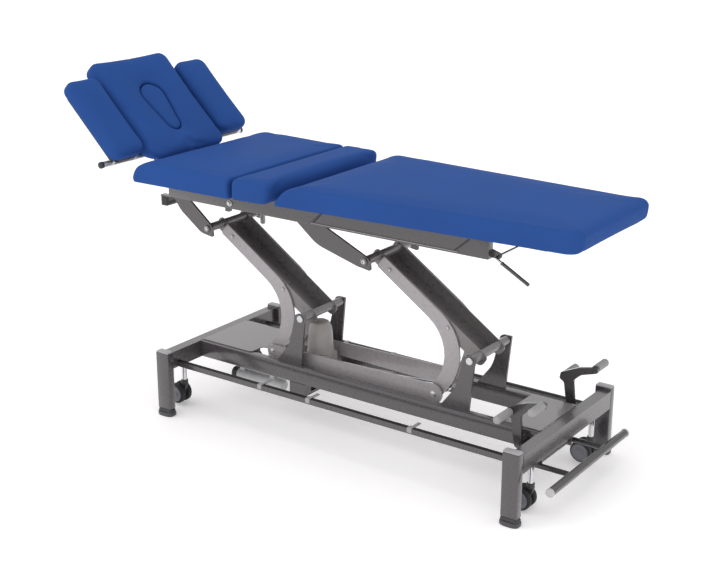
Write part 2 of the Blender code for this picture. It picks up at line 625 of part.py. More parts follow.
# Top frame: rails with hangers, head cross tube, middle support and release rod
body("top", TOP_PIVOT_X, 0.0, TOP_PIVOT_Z, 0.0, "front_lever")
tube_x = (RAIL_HEAD_X - 0.044, RAIL_HEAD_X - 0.044 + CROSS_TUBE)
tube_top = RAIL_BOTTOM - 0.004
for side, side_name in ((-1, "near"), (1, "far")):
    rail_y = mirrored((RAIL_INNER, RAIL_OUTER), side)
    hangers, holes = [], []
    for pivot, hanger in ((TOP_PIVOT_X, FRONT_HANGER), (TOP_PIVOT_X + LEVER_SPACING, REAR_HANGER)):
        root = RAIL_BOTTOM + 0.005
        lead, belly, trail = hanger
        outline = rounded([(pivot - lead, root, 0.0), (pivot + belly[0], TOP_PIVOT_Z + belly[1], 0.120),
                           (pivot + HANGER_HEEL[0], TOP_PIVOT_Z + HANGER_HEEL[1], 0.060),
                           (pivot + HANGER_TIP[0], TOP_PIVOT_Z + HANGER_TIP[1], 0.005),
                           (pivot + 0.9 * HANGER_TIP[0], TOP_PIVOT_Z + 0.010, 0.018), (pivot - trail, root, 0.0)], 6)
        hangers.append(prism(outline, *mirrored((HANGER_INNER, HANGER_OUTER), side)))
        holes.append(rod(*mirrored((RAIL_INNER, RAIL_OUTER), side), PIN + RUN, pivot, TOP_PIVOT_Z))
    tongue = box((tube_x[0] + 0.002, RAIL_HEAD_X + 0.008), mirrored((RAIL_INNER + 0.004, RAIL_OUTER - 0.004), side),
                 (tube_top + GAP, tube_top + GAP + TONGUE_PLATE))
    lug = prism(link(RELEASE_X, RELEASE_Z, RELEASE_RADIUS + 0.006, RAIL_FOOT_X - 0.012, RELEASE_Z + 0.006, 0.014),
                *mirrored((RAIL_INNER + 0.001, RAIL_INNER + 0.007), side))
    slot = rod(*mirrored((RAIL_INNER - 0.01, RAIL_OUTER), side), RELEASE_RADIUS + RUN, RELEASE_X, RELEASE_Z)
    face_low, face_high = RAIL_BOTTOM + RECESS_LIP, RAIL_TOP - RECESS_LIP
    face_x = (RAIL_HEAD_X + RECESS_X[0], RAIL_HEAD_X + RECESS_X[1])
    face = [(face_x[0], face_low), (face_x[1], face_low), (face_x[1] + RECESS_SLANT[1], face_high),
            (face_x[0] + RECESS_SLANT[0], face_high)]
    recess = prism(face, *mirrored((RAIL_OUTER - RECESS_DEPTH, RAIL_OUTER + 0.01), side))
    make(f"rail_{side_name}", box((RAIL_HEAD_X, RAIL_FOOT_X), rail_y, (RAIL_BOTTOM, RAIL_TOP)), FRAME, "top",
         adds=[hangers + [lug], [tongue]], cuts=[holes + [slot, recess]], edge=EDGE)
make("rail_cross_head", box(tube_x, (-CROSS_TUBE_HALF, CROSS_TUBE_HALF), (tube_top - CROSS_TUBE_HEIGHT, tube_top)),
     FRAME, "top", edge=EDGE)

pan_x = (CHEST_HINGE_X + 0.013, LEG_HINGE_X - 0.015)
lug_in = RAIL_OUTER + GAP
pan = [(pan_x[0], SECTION_BOTTOM), (pan_x[0], SECTION_TOP), (pan_x[1], SECTION_TOP), (pan_x[1], SECTION_BOTTOM),
       (pan_x[1] - WALL, SECTION_BOTTOM), (pan_x[1] - WALL, SECTION_TOP - WALL),
       (pan_x[0] + WALL, SECTION_TOP - WALL), (pan_x[0] + WALL, SECTION_BOTTOM)]
lug_radius = (SECTION_TOP - SECTION_BOTTOM) / 2
lug_outline = link(CHEST_HINGE_X, HINGE_Z, lug_radius, LEG_HINGE_X, HINGE_Z, lug_radius)
lugs = [prism(lug_outline, *mirrored((lug_in, lug_in + LUG_THICK), side)) for side in (-1, 1)]
bores = [rod(-RAIL_OUTER - 0.02, RAIL_OUTER + 0.02, PIN + RUN, x, HINGE_Z) for x in (CHEST_HINGE_X, LEG_HINGE_X)]
make("mid_frame", prism(pan, -lug_in - 0.001, lug_in + 0.001), FRAME, "top", adds=[lugs], cuts=[bores])
make("mid_pad", cushion(MID_X, MID_HALF, PAD_BOTTOM, PAD_THICK, MID_CORNER, draw=0.0015), VINYL, "top")

body("release", RELEASE_X, 0.0, RELEASE_Z, 0.0, "top")
arm_y = RAIL_INNER + 0.027
run = [Vector((RELEASE_X, y, RELEASE_Z)) for y in (RAIL_INNER + 0.012, 0.0, -arm_y + 0.016)]
reach = Vector((math.cos(RELEASE_DROP), 0.0, -math.sin(RELEASE_DROP)))
elbow = Vector((RELEASE_X, -arm_y + 0.016, RELEASE_Z)) + reach * 0.016
bend = [elbow - reach * 0.016 * math.cos(a) - Vector((0.0, 0.016 * math.sin(a), 0.0))
        for a in (math.pi / 8, math.pi / 4, 3 * math.pi / 8)]
turn = elbow - Vector((0.0, 0.016, 0.0))
path = run + bend + [turn, turn + reach * (RELEASE_ARM - 0.016)]
rings = []
for i, point in enumerate(path):
    ahead = (path[min(i + 1, len(path) - 1)] - path[max(i - 1, 0)]).normalized()
    out = Vector((reach.z, 0.0, -reach.x))
    over = ahead.cross(out).normalized()
    rings.append([point + RELEASE_RADIUS * (math.cos(a) * out + math.sin(a) * over)
                  for a in (2 * math.pi * k / 24 for k in range(24))])
make("release_lever", loft(rings), CHROME, "release")

# Chest section: two bars with a hinge rod and ears for the head hinge
body("chest", CHEST_HINGE_X, 0.0, HINGE_Z, 0.0, "top")
bar = rounded([(CHEST_HINGE_X + 0.006, SECTION_BOTTOM, 0.005), (CHEST_HINGE_X + 0.006, SECTION_TOP, 0.005),
               (HEAD_X + 0.026, SECTION_TOP, 0.0), (HEAD_X + EAR_RADIUS, HEAD_Z + EAR_RADIUS, 0.008),
               (HEAD_X - EAR_RADIUS, HEAD_Z + EAR_RADIUS, 0.012),
               (HEAD_X - EAR_RADIUS, HEAD_Z - EAR_RADIUS, 0.012), (HEAD_X + 0.010, SECTION_BOTTOM, 0.010)])
bars = [prism(bar, *mirrored((RAIL_INNER, RAIL_OUTER), side)) for side in (-1, 1)]
tie_y = RAIL_INNER + 0.005
chest_mid = (HEAD_X + CHEST_HINGE_X) / 2
tie = box((chest_mid - 0.015, chest_mid + 0.015), (-tie_y, tie_y), (SECTION_BOTTOM + 0.005, SECTION_TOP))
hinge = rod(-lug_in - LUG_THICK, lug_in + LUG_THICK, PIN, CHEST_HINGE_X, HINGE_Z)
make("chest_frame", joined(bars), FRAME, "chest", adds=[[tie, hinge]],
     cuts=[[rod(-RAIL_OUTER - 0.01, RAIL_OUTER + 0.01, PIN + RUN, HEAD_X, HEAD_Z)]])
make("chest_pad", cushion(CHEST_X, CHEST_HALF, PAD_BOTTOM, PAD_THICK, CHEST_CORNER, lead=CHEST_LEAD), VINYL, "chest")

# Leg section
body("leg_rest", LEG_HINGE_X, 0.0, HINGE_Z, 0.0, "top")
bar = rounded([(LEG_HINGE_X - 0.011, SECTION_BOTTOM, 0.011), (LEG_FRAME_END, SECTION_BOTTOM, 0.0),
               (LEG_FRAME_END, SECTION_TOP, 0.0), (LEG_HINGE_X - 0.011, SECTION_TOP, 0.011)])
bars = [prism(bar, *mirrored((RAIL_INNER, RAIL_OUTER), side)) for side in (-1, 1)]
ties = [box((x, x + 0.030), (-tie_y, tie_y), (SECTION_BOTTOM + 0.005, SECTION_TOP - 0.001))
        for x in (RAIL_HEAD_X + LEG_TIE, LEG_FRAME_END - 0.031)]
hinge = rod(-lug_in - LUG_THICK, lug_in + LUG_THICK, PIN, LEG_HINGE_X, HINGE_Z)
make("leg_frame", joined(bars), FRAME, "leg_rest", adds=[ties + [hinge]])
make("leg_pad", cushion(LEG_X, LEG_HALF, PAD_BOTTOM, PAD_THICK, LEG_CORNER, lead=LEG_LEAD), VINYL, "leg_rest")

# Head section with its face slot, plug and armrests
body("head", HEAD_X, 0.0, HEAD_Z, HEAD_TILT, "chest", flat=True)
bar_top = HEAD_BASE - 0.0005
bar_bottom = bar_top - HEAD_BAR_DEPTH
bar = rounded([(EAR_RADIUS, bar_bottom, 0.012), (EAR_RADIUS, EAR_RADIUS, 0.011), (-EAR_RADIUS, EAR_RADIUS, 0.011),
               (-EAR_RADIUS, bar_top, 0.0), (HEAD_BAR_END, bar_top, 0.0), (HEAD_BAR_END, bar_bottom, 0.006)])
bar_y = (HEAD_BAR_INNER, HEAD_BAR_INNER + HEAD_BAR_WIDTH)
bars = [prism(bar, *mirrored(bar_y, side)) for side in (-1, 1)]
tie_y = HEAD_BAR_INNER + 0.005
tie = box((HEAD_BAR_END + 0.002, HEAD_BAR_END + 0.022), (-tie_y, tie_y), (bar_bottom + 0.001, bar_top - 0.001))
hinge = rod(-RAIL_OUTER - 0.004, RAIL_OUTER + 0.004, PIN, 0.0, 0.0)
sockets = rod(-bar_y[1] - 0.01, bar_y[1] + 0.01, ARM_PIN + RUN, ARM_HINGE_X, ARM_HINGE_Z)
make("head_frame", joined(bars), FRAME, "head", adds=[[tie, hinge]], cuts=[[sockets]])
slot = link(SLOT_BIG_X, 0.0, SLOT_BIG_RADIUS, SLOT_SMALL_X, 0.0, SLOT_SMALL_RADIUS)
head_form = cushion(HEAD_PAD_X, (HEAD_HALF, HEAD_HALF), HEAD_BASE, HEAD_THICK, (HEAD_CORNER, HEAD_CORNER))
make("head_pad", head_form, VINYL, "head",
     cuts=[[prism(slot, HEAD_BASE - 0.02, HEAD_BASE + HEAD_THICK + 0.03, "z")]])
body("plug", HEAD_X, 0.0, HEAD_Z, HEAD_TILT, "head", flat=True)
rings = []
for inset, height in ((0.004, 0.001), (0.0, 0.005), (0.0, HEAD_THICK - 0.010), (0.003, HEAD_THICK - 0.004),
                      (0.010, HEAD_THICK + 0.001), (0.022, HEAD_THICK + 0.004), (0.030, HEAD_THICK + 0.005)):
    shrink = inset + 2 * GAP
    outline = link(SLOT_BIG_X, 0.0, SLOT_BIG_RADIUS - shrink, SLOT_SMALL_X, 0.0, SLOT_SMALL_RADIUS - shrink)
    rings.append([(a, b, HEAD_BASE + height) for a, b in outline])
make("face_plug", loft(rings), VINYL, "plug")

for side, side_name in ((-1, "near"), (1, "far")):
    hinge_x = HEAD_X + ARM_HINGE_X * math.cos(HEAD_TILT) + ARM_HINGE_Z * math.sin(HEAD_TILT)
    hinge_z = HEAD_Z - ARM_HINGE_X * math.sin(HEAD_TILT) + ARM_HINGE_Z * math.cos(HEAD_TILT)
    owner = f"armrest_{side_name}"
    body(owner, hinge_x, 0.0, hinge_z, HEAD_TILT, "head", flat=True)
    shift = Matrix.Translation((-ARM_HINGE_X, 0.0, -ARM_HINGE_Z))
    steps = [(bar_y[0] - 0.001, ARM_PIN), (bar_y[1] + GAP, ARM_PIN), (bar_y[1] + GAP, ARM_TUBE_RADIUS),
             (ARM_TUBE_END - 0.003, ARM_TUBE_RADIUS), (ARM_TUBE_END, ARM_TUBE_RADIUS - 0.003)]
    tube = turned([(y * side, r) for y, r in steps], ARM_HINGE_X, ARM_HINGE_Z)
    board_top = ARMREST_BASE - GAP
    board_y = mirrored((ARMREST_Y[0] + 0.023, ARMREST_Y[1] - 0.023), side)
    board = box((ARMREST_X[0] + 0.035, ARM_HINGE_X + 0.015), board_y, (board_top - BOARD_DEPTH, board_top))
    pad_half = (ARMREST_Y[1] - ARMREST_Y[0]) / 2
    pad = cushion(ARMREST_X, (pad_half, pad_half), ARMREST_BASE, ARMREST_THICK, (ARMREST_CORNER, ARMREST_CORNER),
                  middle_y=side * (ARMREST_Y[0] + pad_half), draw=0.002)
    for mesh in (tube, board, pad):
        bmesh.ops.transform(mesh, matrix=shift, verts=mesh.verts)
    make(f"armrest_arm_{side_name}", tube, CHROME, owner, adds=[[board]])
    make(f"armrest_pad_{side_name}", pad, VINYL, owner)

# Foot controls: rocker pedals, long foot bars and the castor lift bar
heel = (PEDAL_X - PEDAL_BACK, PEDAL_Z + PEDAL_RISE)
toe = (PEDAL_X + PEDAL_REACH, heel[1] + PEDAL_CLIMB)
foot_low = PEDAL_Z - PEDAL_PAD_RADIUS - 0.002
bow = (0.4 * toe[0] + 0.6 * heel[0], 0.4 * heel[1] + 0.6 * toe[1])
rocker = rounded([(PEDAL_X - PEDAL_STEM / 2, foot_low, 0.4 * PEDAL_STEM),
                  (PEDAL_X + PEDAL_STEM / 2, foot_low, 0.4 * PEDAL_STEM),
                  (heel[0] + 1.25 * PEDAL_STEM, heel[1] - 0.4 * PEDAL_ARM, PEDAL_ARM),
                  (bow[0] + PEDAL_ARM, bow[1] - 0.5 * PEDAL_ARM, 1.5 * PEDAL_ARM),
                  (toe[0] + 0.6 * PEDAL_ARM, toe[1] - PEDAL_ARM / 2, 0.3 * PEDAL_ARM),
                  (toe[0] + 0.6 * PEDAL_ARM, toe[1] + PEDAL_ARM / 2, 0.4 * PEDAL_ARM),
                  (bow[0] + PEDAL_ARM / 2, bow[1] + 0.65 * PEDAL_ARM, 3 * PEDAL_ARM),
                  (heel[0] - 0.45 * PEDAL_ARM, heel[1] + 0.6 * PEDAL_ARM, 0.4 * PEDAL_ARM),
                  (heel[0] - 0.65 * PEDAL_ARM, heel[1] - 0.5 * PEDAL_ARM, 0.4 * PEDAL_ARM),
                  (heel[0] + 0.2 * PEDAL_ARM, heel[1] - PEDAL_ARM, PEDAL_ARM / 2)])
for side, side_name in ((-1, "near"), (1, "far")):
    body(f"pedal_{side_name}", PEDAL_X, 0.0, PEDAL_Z, 0.0, "base")
    plate_y = mirrored((PEDAL_Y - PEDAL_THICK / 2, PEDAL_Y + PEDAL_THICK / 2), side)
    hub_y = mirrored((BEAM_OUTER + GAP, PEDAL_Y + PEDAL_THICK / 2 + 0.004), side)
    hub = rod(*hub_y, PEDAL_PAD_RADIUS, PEDAL_X, PEDAL_Z)
    treads = []
    for (x, z), tip in ((heel, PEDAL_TIP_A), (toe, PEDAL_TIP_B)):
        profile = [(PEDAL_Y, PEDAL_PAD_RADIUS), (tip - 0.006, PEDAL_PAD_RADIUS),
                   (tip - 0.002, PEDAL_PAD_RADIUS - 0.002), (tip, PEDAL_PAD_RADIUS - 0.006)]
        treads.append(turned([(y * side, r) for y, r in profile], x, z, sides=20))
    bore = rod(*mirrored((BEAM_INNER, PEDAL_Y + 0.03), side), PEDAL_STUB + RUN, PEDAL_X, PEDAL_Z)
    make(f"pedal_{side_name}", prism(rocker, *plate_y), FRAME, f"pedal_{side_name}",
         adds=[[hub] + treads], cuts=[[bore]])
    body(f"foot_bar_{side_name}", 0.0, side * BAR_Y, BAR_Z, 0.0, "base")
    bar_end = CROSS_INNER + WALL + 0.008
    make(f"foot_bar_{side_name}", rod(-bar_end, bar_end, BAR_RADIUS, side * BAR_Y, BAR_Z, "x", 16, 0.002),
         FRAME, f"foot_bar_{side_name}")

body("lift", LIFT_PIVOT_X, 0.0, LIFT_Z, 0.0, "base")
tread = rod(-LIFT_BAR_HALF, LIFT_BAR_HALF, LIFT_BAR_RADIUS, LIFT_BAR_X, LIFT_Z, sides=24, chamfer=0.004)
arms = [rod(LIFT_PIVOT_X - 0.010, LIFT_BAR_X, LIFT_ARM_RADIUS, y, LIFT_Z, "x") for y in (-LIFT_ARM_Y, LIFT_ARM_Y)]
shaft = rod(-LIFT_ARM_Y, LIFT_ARM_Y, LIFT_SHAFT, LIFT_PIVOT_X, LIFT_Z)
make("lift_pedal", tread, FRAME, "lift", adds=[arms, [shaft]])

# Castors: a block inside each cross-beam carries two stems, swivelling forks and twin wheels
for end, end_name in ((-1, "head"), (1, "foot")):
    middle = end * CROSS_CENTRE
    block_top = LIFT_BLOCK_BOTTOM + LIFT_BLOCK_HEIGHT
    block_y = CASTOR_Y + 0.018
    body(f"castors_{end_name}", middle, 0.0, LIFT_BLOCK_BOTTOM, 0.0, "base")
    block_x = (middle - LIFT_BLOCK_HALF, middle + LIFT_BLOCK_HALF)
    block = box(block_x, (-block_y, block_y), (LIFT_BLOCK_BOTTOM, block_top))
    stems = [rod(STEM_BOTTOM, block_top - 0.002, STEM_RADIUS, middle, y, "z") for y in (-CASTOR_Y, CASTOR_Y)]
    make(f"castor_bar_{end_name}", block, CHROME, f"castors_{end_name}", adds=[stems])
    for side, side_name in ((-1, "near"), (1, "far")):
        tag = f"{end_name}_{side_name}"
        stem_y = side * CASTOR_Y
        axle_x = middle - CASTOR_TRAIL
        body(f"swivel_{tag}", middle, stem_y, STEM_BOTTOM, 0.0, f"castors_{end_name}")
        web = prism(link(axle_x, AXLE_Z, 0.024, middle, STEM_BOTTOM - 0.014, SOCKET_RADIUS - 0.001, 8),
                    stem_y - FORK_HALF, stem_y + FORK_HALF)
        socket = rod(AXLE_Z + WHEEL_RADIUS + 0.002, STEM_BOTTOM - GAP, SOCKET_RADIUS, middle, stem_y, "z", 20)
        axle_hole = rod(stem_y - 0.02, stem_y + 0.02, FORK_AXLE + RUN, axle_x, AXLE_Z, sides=20)
        make(f"castor_fork_{tag}", web, RUBBER, f"swivel_{tag}", adds=[[socket]], cuts=[[axle_hole]])
        body(f"spin_{tag}", axle_x, stem_y, AXLE_Z, 0.0, f"swivel_{tag}")
        outer = WHEEL_INNER + WHEEL_WIDTH
        half = [(WHEEL_INNER, FORK_AXLE), (WHEEL_INNER, WHEEL_RADIUS - 0.003),
                (WHEEL_INNER + 0.003, WHEEL_RADIUS), (outer - 0.006, WHEEL_RADIUS),
                (outer - 0.0015, WHEEL_RADIUS - 0.004), (outer, WHEEL_RADIUS - 0.011)]
        profile = [(stem_y - y, r) for y, r in reversed(half)] + [(stem_y + y, r) for y, r in half]
        make(f"castor_wheels_{tag}", turned(profile, axle_x, AXLE_Z, sides=20), RUBBER, f"spin_{tag}")

# Bring the middle of the whole table to the origin.
bpy.context.view_layer.update()
graph = bpy.context.evaluated_depsgraph_get()
spans = []
for thing in bpy.data.objects:
    if thing.type == "MESH" and not thing.hide_render:
        ready = thing.evaluated_get(graph)
        spans += [(ready.matrix_world @ Vector(corner)).x for corner in ready.bound_box]
BODIES["base"][0].location.x = -(min(spans) + max(spans)) / 2
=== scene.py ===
import json
import math

import bmesh
import bpy
from mathutils import Matrix, Vector

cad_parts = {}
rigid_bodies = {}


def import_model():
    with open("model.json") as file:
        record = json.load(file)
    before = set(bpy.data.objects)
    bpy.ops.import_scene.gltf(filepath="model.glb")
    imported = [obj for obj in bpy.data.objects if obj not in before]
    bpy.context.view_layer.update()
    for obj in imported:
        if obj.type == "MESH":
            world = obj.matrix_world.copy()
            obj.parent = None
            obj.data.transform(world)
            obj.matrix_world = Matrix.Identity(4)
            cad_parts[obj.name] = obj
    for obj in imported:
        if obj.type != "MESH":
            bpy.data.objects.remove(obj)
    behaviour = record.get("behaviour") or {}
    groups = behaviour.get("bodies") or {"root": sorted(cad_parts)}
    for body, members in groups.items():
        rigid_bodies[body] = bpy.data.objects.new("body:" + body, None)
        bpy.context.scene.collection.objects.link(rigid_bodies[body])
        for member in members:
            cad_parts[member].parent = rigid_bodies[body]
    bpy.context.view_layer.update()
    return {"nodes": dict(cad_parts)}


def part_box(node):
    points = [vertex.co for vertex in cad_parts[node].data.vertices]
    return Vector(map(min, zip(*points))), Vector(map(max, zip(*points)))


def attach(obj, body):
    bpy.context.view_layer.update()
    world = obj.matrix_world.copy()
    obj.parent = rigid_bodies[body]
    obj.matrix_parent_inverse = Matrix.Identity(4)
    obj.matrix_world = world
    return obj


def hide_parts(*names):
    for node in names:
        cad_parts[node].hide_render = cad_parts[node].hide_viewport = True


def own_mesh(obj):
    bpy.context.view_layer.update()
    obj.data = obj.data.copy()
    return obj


# The table as engineered: every solid and joint, fixed in one place. The middle of the
# base is found from the outer legs.
for old in list(bpy.data.objects):
    bpy.data.objects.remove(old, do_unlink=True)
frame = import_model()
nodes = frame["nodes"]
base_x = (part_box("leg_head_near")[0].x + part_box("leg_foot_near")[1].x) / 2

# Studio: a wide white paper floor under an even white surround, with one broad soft light
# high on the near side and a weaker one opposite. The camera stands off the foot corner.
FLOOR_REACH = 60.0
FLOOR_WHITE = (0.95, 0.937, 0.943, 1.0)
FLOOR_GLOW = 0.24
GLOW_WHITE = (1.0, 0.99, 0.995, 1.0)
SURROUND_WHITE = (1.0, 0.995, 1.0, 1.0)
SURROUND = (0.95, 0.50)
OVERHEAD = (1.08, 0.62)
SUNS = {"key_light": (1.1, (0.50, -0.22, 0.0)), "fill_light": (0.7, (-0.3, 0.75, 0.0))}
SUN_SPREAD = math.radians(75)
CAMERA_SPOT = (base_x + 2.3841, -3.4691, 1.9306)
CAMERA_TURN = (math.pi / 2 - 0.3192, 0.0, 0.6217)
CAMERA_LENS = 67.54


def put(tree, kind, feeds=None, **settings):
    node = tree.nodes.new("ShaderNode" + kind)
    for key, value in settings.items():
        setattr(node, key, value)
    for socket, source in (feeds or {}).items():
        if isinstance(source, bpy.types.NodeSocket):
            tree.links.new(source, node.inputs[socket])
        else:
            node.inputs[socket].default_value = source
    return node


def shader_of(name):
    material = bpy.data.materials.new(name)
    material.use_nodes = True
    tree = material.node_tree
    return material, tree, tree.nodes["Principled BSDF"]


def scaled(tree, source, low, high, to_low, to_high):
    feeds = {"Value": source, "From Min": low, "From Max": high, "To Min": to_low, "To Max": to_high}
    return put(tree, "MapRange", feeds).outputs["Result"]


floor_mesh = bpy.data.meshes.new("studio_floor")
corners = [(-1, -1), (1, -1), (1, 1), (-1, 1)]
floor_mesh.from_pydata([(x * FLOOR_REACH, y * FLOOR_REACH, 0.0) for x, y in corners], [], [(0, 1, 2, 3)])
floor = bpy.data.objects.new("studio_floor", floor_mesh)
bpy.context.collection.objects.link(floor)
paper, tree, shader = shader_of("paper_white")
cloud = put(tree, "TexNoise", {"Vector": put(tree, "TexCoord").outputs["Object"], "Scale": 0.6})
tree.links.new(scaled(tree, cloud.outputs["Fac"], 0.3, 0.7, 0.62, 0.7), shader.inputs["Roughness"])
shader.inputs["Base Color"].default_value = FLOOR_WHITE
shader.inputs["Specular IOR Level"].default_value = 0.1
shader.inputs["Emission Color"].default_value = GLOW_WHITE
shader.inputs["Emission Strength"].default_value = FLOOR_GLOW
floor_mesh.materials.append(paper)

world = bpy.data.worlds.new("white_surround")
world.use_nodes = True
tree = world.node_tree
way = put(tree, "SeparateXYZ", {0: put(tree, "TexCoord").outputs["Generated"]})
across = scaled(tree, way.outputs["X"], -0.5, 1.0, SURROUND[0], SURROUND[1])
overhead = scaled(tree, way.outputs["Z"], 0.1, 1.0, OVERHEAD[0], OVERHEAD[1])
strength = put(tree, "Math", {0: across, 1: overhead}, operation="MULTIPLY").outputs[0]
tree.links.new(strength, tree.nodes["Background"].inputs["Strength"])
tree.nodes["Background"].inputs["Color"].default_value = SURROUND_WHITE
bpy.context.scene.world = world
for name, (strength, turn) in SUNS.items():
    light = bpy.data.lights.new(name, "SUN")
    light.energy = strength
    light.angle = SUN_SPREAD
    lamp = bpy.data.objects.new(name, light)
    lamp.rotation_euler = turn
    bpy.context.collection.objects.link(lamp)
camera_data = bpy.data.cameras.new("camera")
camera_data.lens = CAMERA_LENS
camera_data.sensor_width = 36.0
camera_data.clip_end = 200.0
camera = bpy.data.objects.new("camera", camera_data)
camera.location = CAMERA_SPOT
camera.rotation_euler = CAMERA_TURN
bpy.context.collection.objects.link(camera)
bpy.context.scene.camera = camera
bpy.context.scene.view_settings.view_transform = "Standard"

# Base frame: welded rectangular steel tube, legs, cross-beams and two long beams, with folded
# sheet trays between them. All of it is sprayed with a glossy anthracite powder coat.
COAT_GREY = (0.058, 0.052, 0.056, 1.0)
COAT_PALE = (0.42, 0.40, 0.41, 1.0)
EDGE_ROUND = 0.0012
SMOOTH_ANGLE = math.radians(32)
CORNERS = [f"{end}_{side}" for end in ("head", "foot") for side in ("near", "far")]
SIDES = (("near", -1), ("far", 1))
SKIN_GIVES = [("Colour", "Color"), ("Roughness", "Float"), ("Height", "Float")]


def group_of(name, takes, gives):
    group = bpy.data.node_groups.new(name, "ShaderNodeTree")
    for label, kind, value in takes:
        socket = group.interface.new_socket(label, in_out="INPUT", socket_type="NodeSocket" + kind)
        socket.default_value = value
    for label, kind in gives:
        group.interface.new_socket(label, in_out="OUTPUT", socket_type="NodeSocket" + kind)
    return group, group.nodes.new("NodeGroupInput"), group.nodes.new("NodeGroupOutput")


def placed(tree, group, **feeds):
    node = tree.nodes.new("ShaderNodeGroup")
    node.node_tree = group
    for label, value in feeds.items():
        socket = node.inputs[label.replace("_", " ")]
        if isinstance(value, bpy.types.NodeSocket):
            tree.links.new(value, socket)
        else:
            socket.default_value = value
    return node


def mixed(tree, factor, first, second, mode="MIX"):
    node = tree.nodes.new("ShaderNodeMix")
    node.data_type = "RGBA"
    node.blend_type = mode
    for socket, source in ((node.inputs[0], factor), (node.inputs[6], first), (node.inputs[7], second)):
        if isinstance(source, bpy.types.NodeSocket):
            tree.links.new(source, socket)
        else:
            socket.default_value = source
    return node.outputs[2]


def times(tree, first, second):
    return put(tree, "Math", {0: first, 1: second}, operation="MULTIPLY").outputs[0]


def noise(tree, spot, scale, detail):
    return put(tree, "TexNoise", {"Vector": spot, "Scale": scale, "Detail": detail}).outputs["Fac"]


def toned(tree, colour, tone):
    grey = put(tree, "CombineColor", {0: tone, 1: tone, 2: tone}).outputs[0]
    return mixed(tree, 1.0, colour, grey, "MULTIPLY")


# Sprayed coat: orange peel and slow drifts of tone. Faces that look up are mixed in specks towards a pale grey,
# partly dust and partly a painted reflection of the white surround.
SPRAYED_TAKES = [("Colour", "Color", COAT_GREY), ("Dust", "Float", 0.2)]
sprayed, start, end = group_of("sprayed_coat", SPRAYED_TAKES, SKIN_GIVES)
spot = put(sprayed, "TexCoord").outputs["Object"]
peel = noise(sprayed, spot, 420.0, 2.0)
drift = noise(sprayed, spot, 6.0, 3.0)
speck = noise(sprayed, spot, 55.0, 3.0)
tinted = toned(sprayed, start.outputs["Colour"], scaled(sprayed, drift, 0.3, 0.7, 0.96, 1.04))
# Up-facing mask: dust in specks, and a painted reflection lightening the faces that look up.
upward = put(sprayed, "SeparateXYZ", {0: put(sprayed, "NewGeometry").outputs["Normal"]}).outputs["Z"]
level = scaled(sprayed, upward, 0.7, 1.0, 0.0, 1.0)
dust_and_reflection_mask = times(sprayed, level, scaled(sprayed, speck, 0.3, 0.75, 0.4, 1.0))
dust_and_reflection_mask = times(sprayed, dust_and_reflection_mask, start.outputs["Dust"])
sprayed.links.new(mixed(sprayed, dust_and_reflection_mask, tinted, COAT_PALE), end.inputs["Colour"])
gloss = scaled(sprayed, speck, 0.3, 0.7, 0.25, 0.31)
gloss = put(sprayed, "Math", {0: gloss, 1: times(sprayed, dust_and_reflection_mask, 0.5)}, operation="ADD").outputs[0]
sprayed.links.new(gloss, end.inputs["Roughness"])
sprayed.links.new(times(sprayed, peel, 0.00002), end.inputs["Height"])

# Eased edges: the small radius that a deburred and coated edge has, and a mask along it.
eased, start, end = group_of("eased_edges", [("Radius", "Float", EDGE_ROUND)],
                             [("Normal", "Vector"), ("Edge", "Float")])
bent = put(eased, "Bevel", {"Radius": start.outputs["Radius"]}, samples=4).outputs["Normal"]
flat = put(eased, "NewGeometry").outputs["Normal"]
along = put(eased, "VectorMath", {0: bent, 1: flat}, operation="DOT_PRODUCT").outputs["Value"]
eased.links.new(bent, end.inputs["Normal"])
eased.links.new(scaled(eased, along, 1.0, 0.8, 0.0, 1.0), end.inputs["Edge"])


def surfaced(tree, shader, skin):
    # Lays a skin's roughness and fine relief over eased edges, and gives the edges back.
    edge = placed(tree, eased, Radius=EDGE_ROUND)
    tree.links.new(skin.outputs["Roughness"], shader.inputs["Roughness"])
    feeds = {"Height": skin.outputs["Height"], "Distance": 1.0, "Normal": edge.outputs["Normal"]}
    tree.links.new(put(tree, "Bump", feeds).outputs["Normal"], shader.inputs["Normal"])
    return edge


def coat(name, colour, dust_and_reflection=0.06, worn=0.10):
    material, tree, shader = shader_of(name)
    skin = placed(tree, sprayed, Colour=colour, Dust=dust_and_reflection)
    edge = surfaced(tree, shader, skin)
    thin = times(tree, edge.outputs["Edge"], worn)
    tree.links.new(mixed(tree, thin, skin.outputs["Colour"], COAT_PALE), shader.inputs["Base Color"])
    shader.inputs["Coat Roughness"].default_value = 0.14
    shader.inputs["Coat Weight"].default_value = 0.8
    return material


def dress(names, material):
    # Solids come as loose triangles: joined and shaded smooth up to a crease.
    for name in names:
        thing = nodes[name]
        mesh = thing.data
        if "custom_normal" in mesh.attributes:
            mesh.attributes.remove(mesh.attributes["custom_normal"])
        mesh.shade_smooth()
        weld = thing.modifiers.new("joined", "WELD")
        weld.merge_threshold = 0.00002
        crease = thing.modifiers.new("creases", "EDGE_SPLIT")
        crease.split_angle = SMOOTH_ANGLE
        thing.material_slots[0].material = material


anthracite = coat("anthracite_coat", COAT_GREY)
dress([f"leg_{corner}" for corner in CORNERS], anthracite)
dress(["head_crossbeam", "foot_crossbeam", "beam_near", "beam_far", "actuator_mount"], anthracite)
# Tray coat: the trays are the same anthracite as the frame. Their paler grey and heavier pale mix on top are a
# painted reflection of the white surround.
tray_reflection_coat = coat("tray_reflection_coat", (0.165, 0.150, 0.157, 1.0), 0.16)
dress(["head_tray", "foot_tray"], tray_reflection_coat)

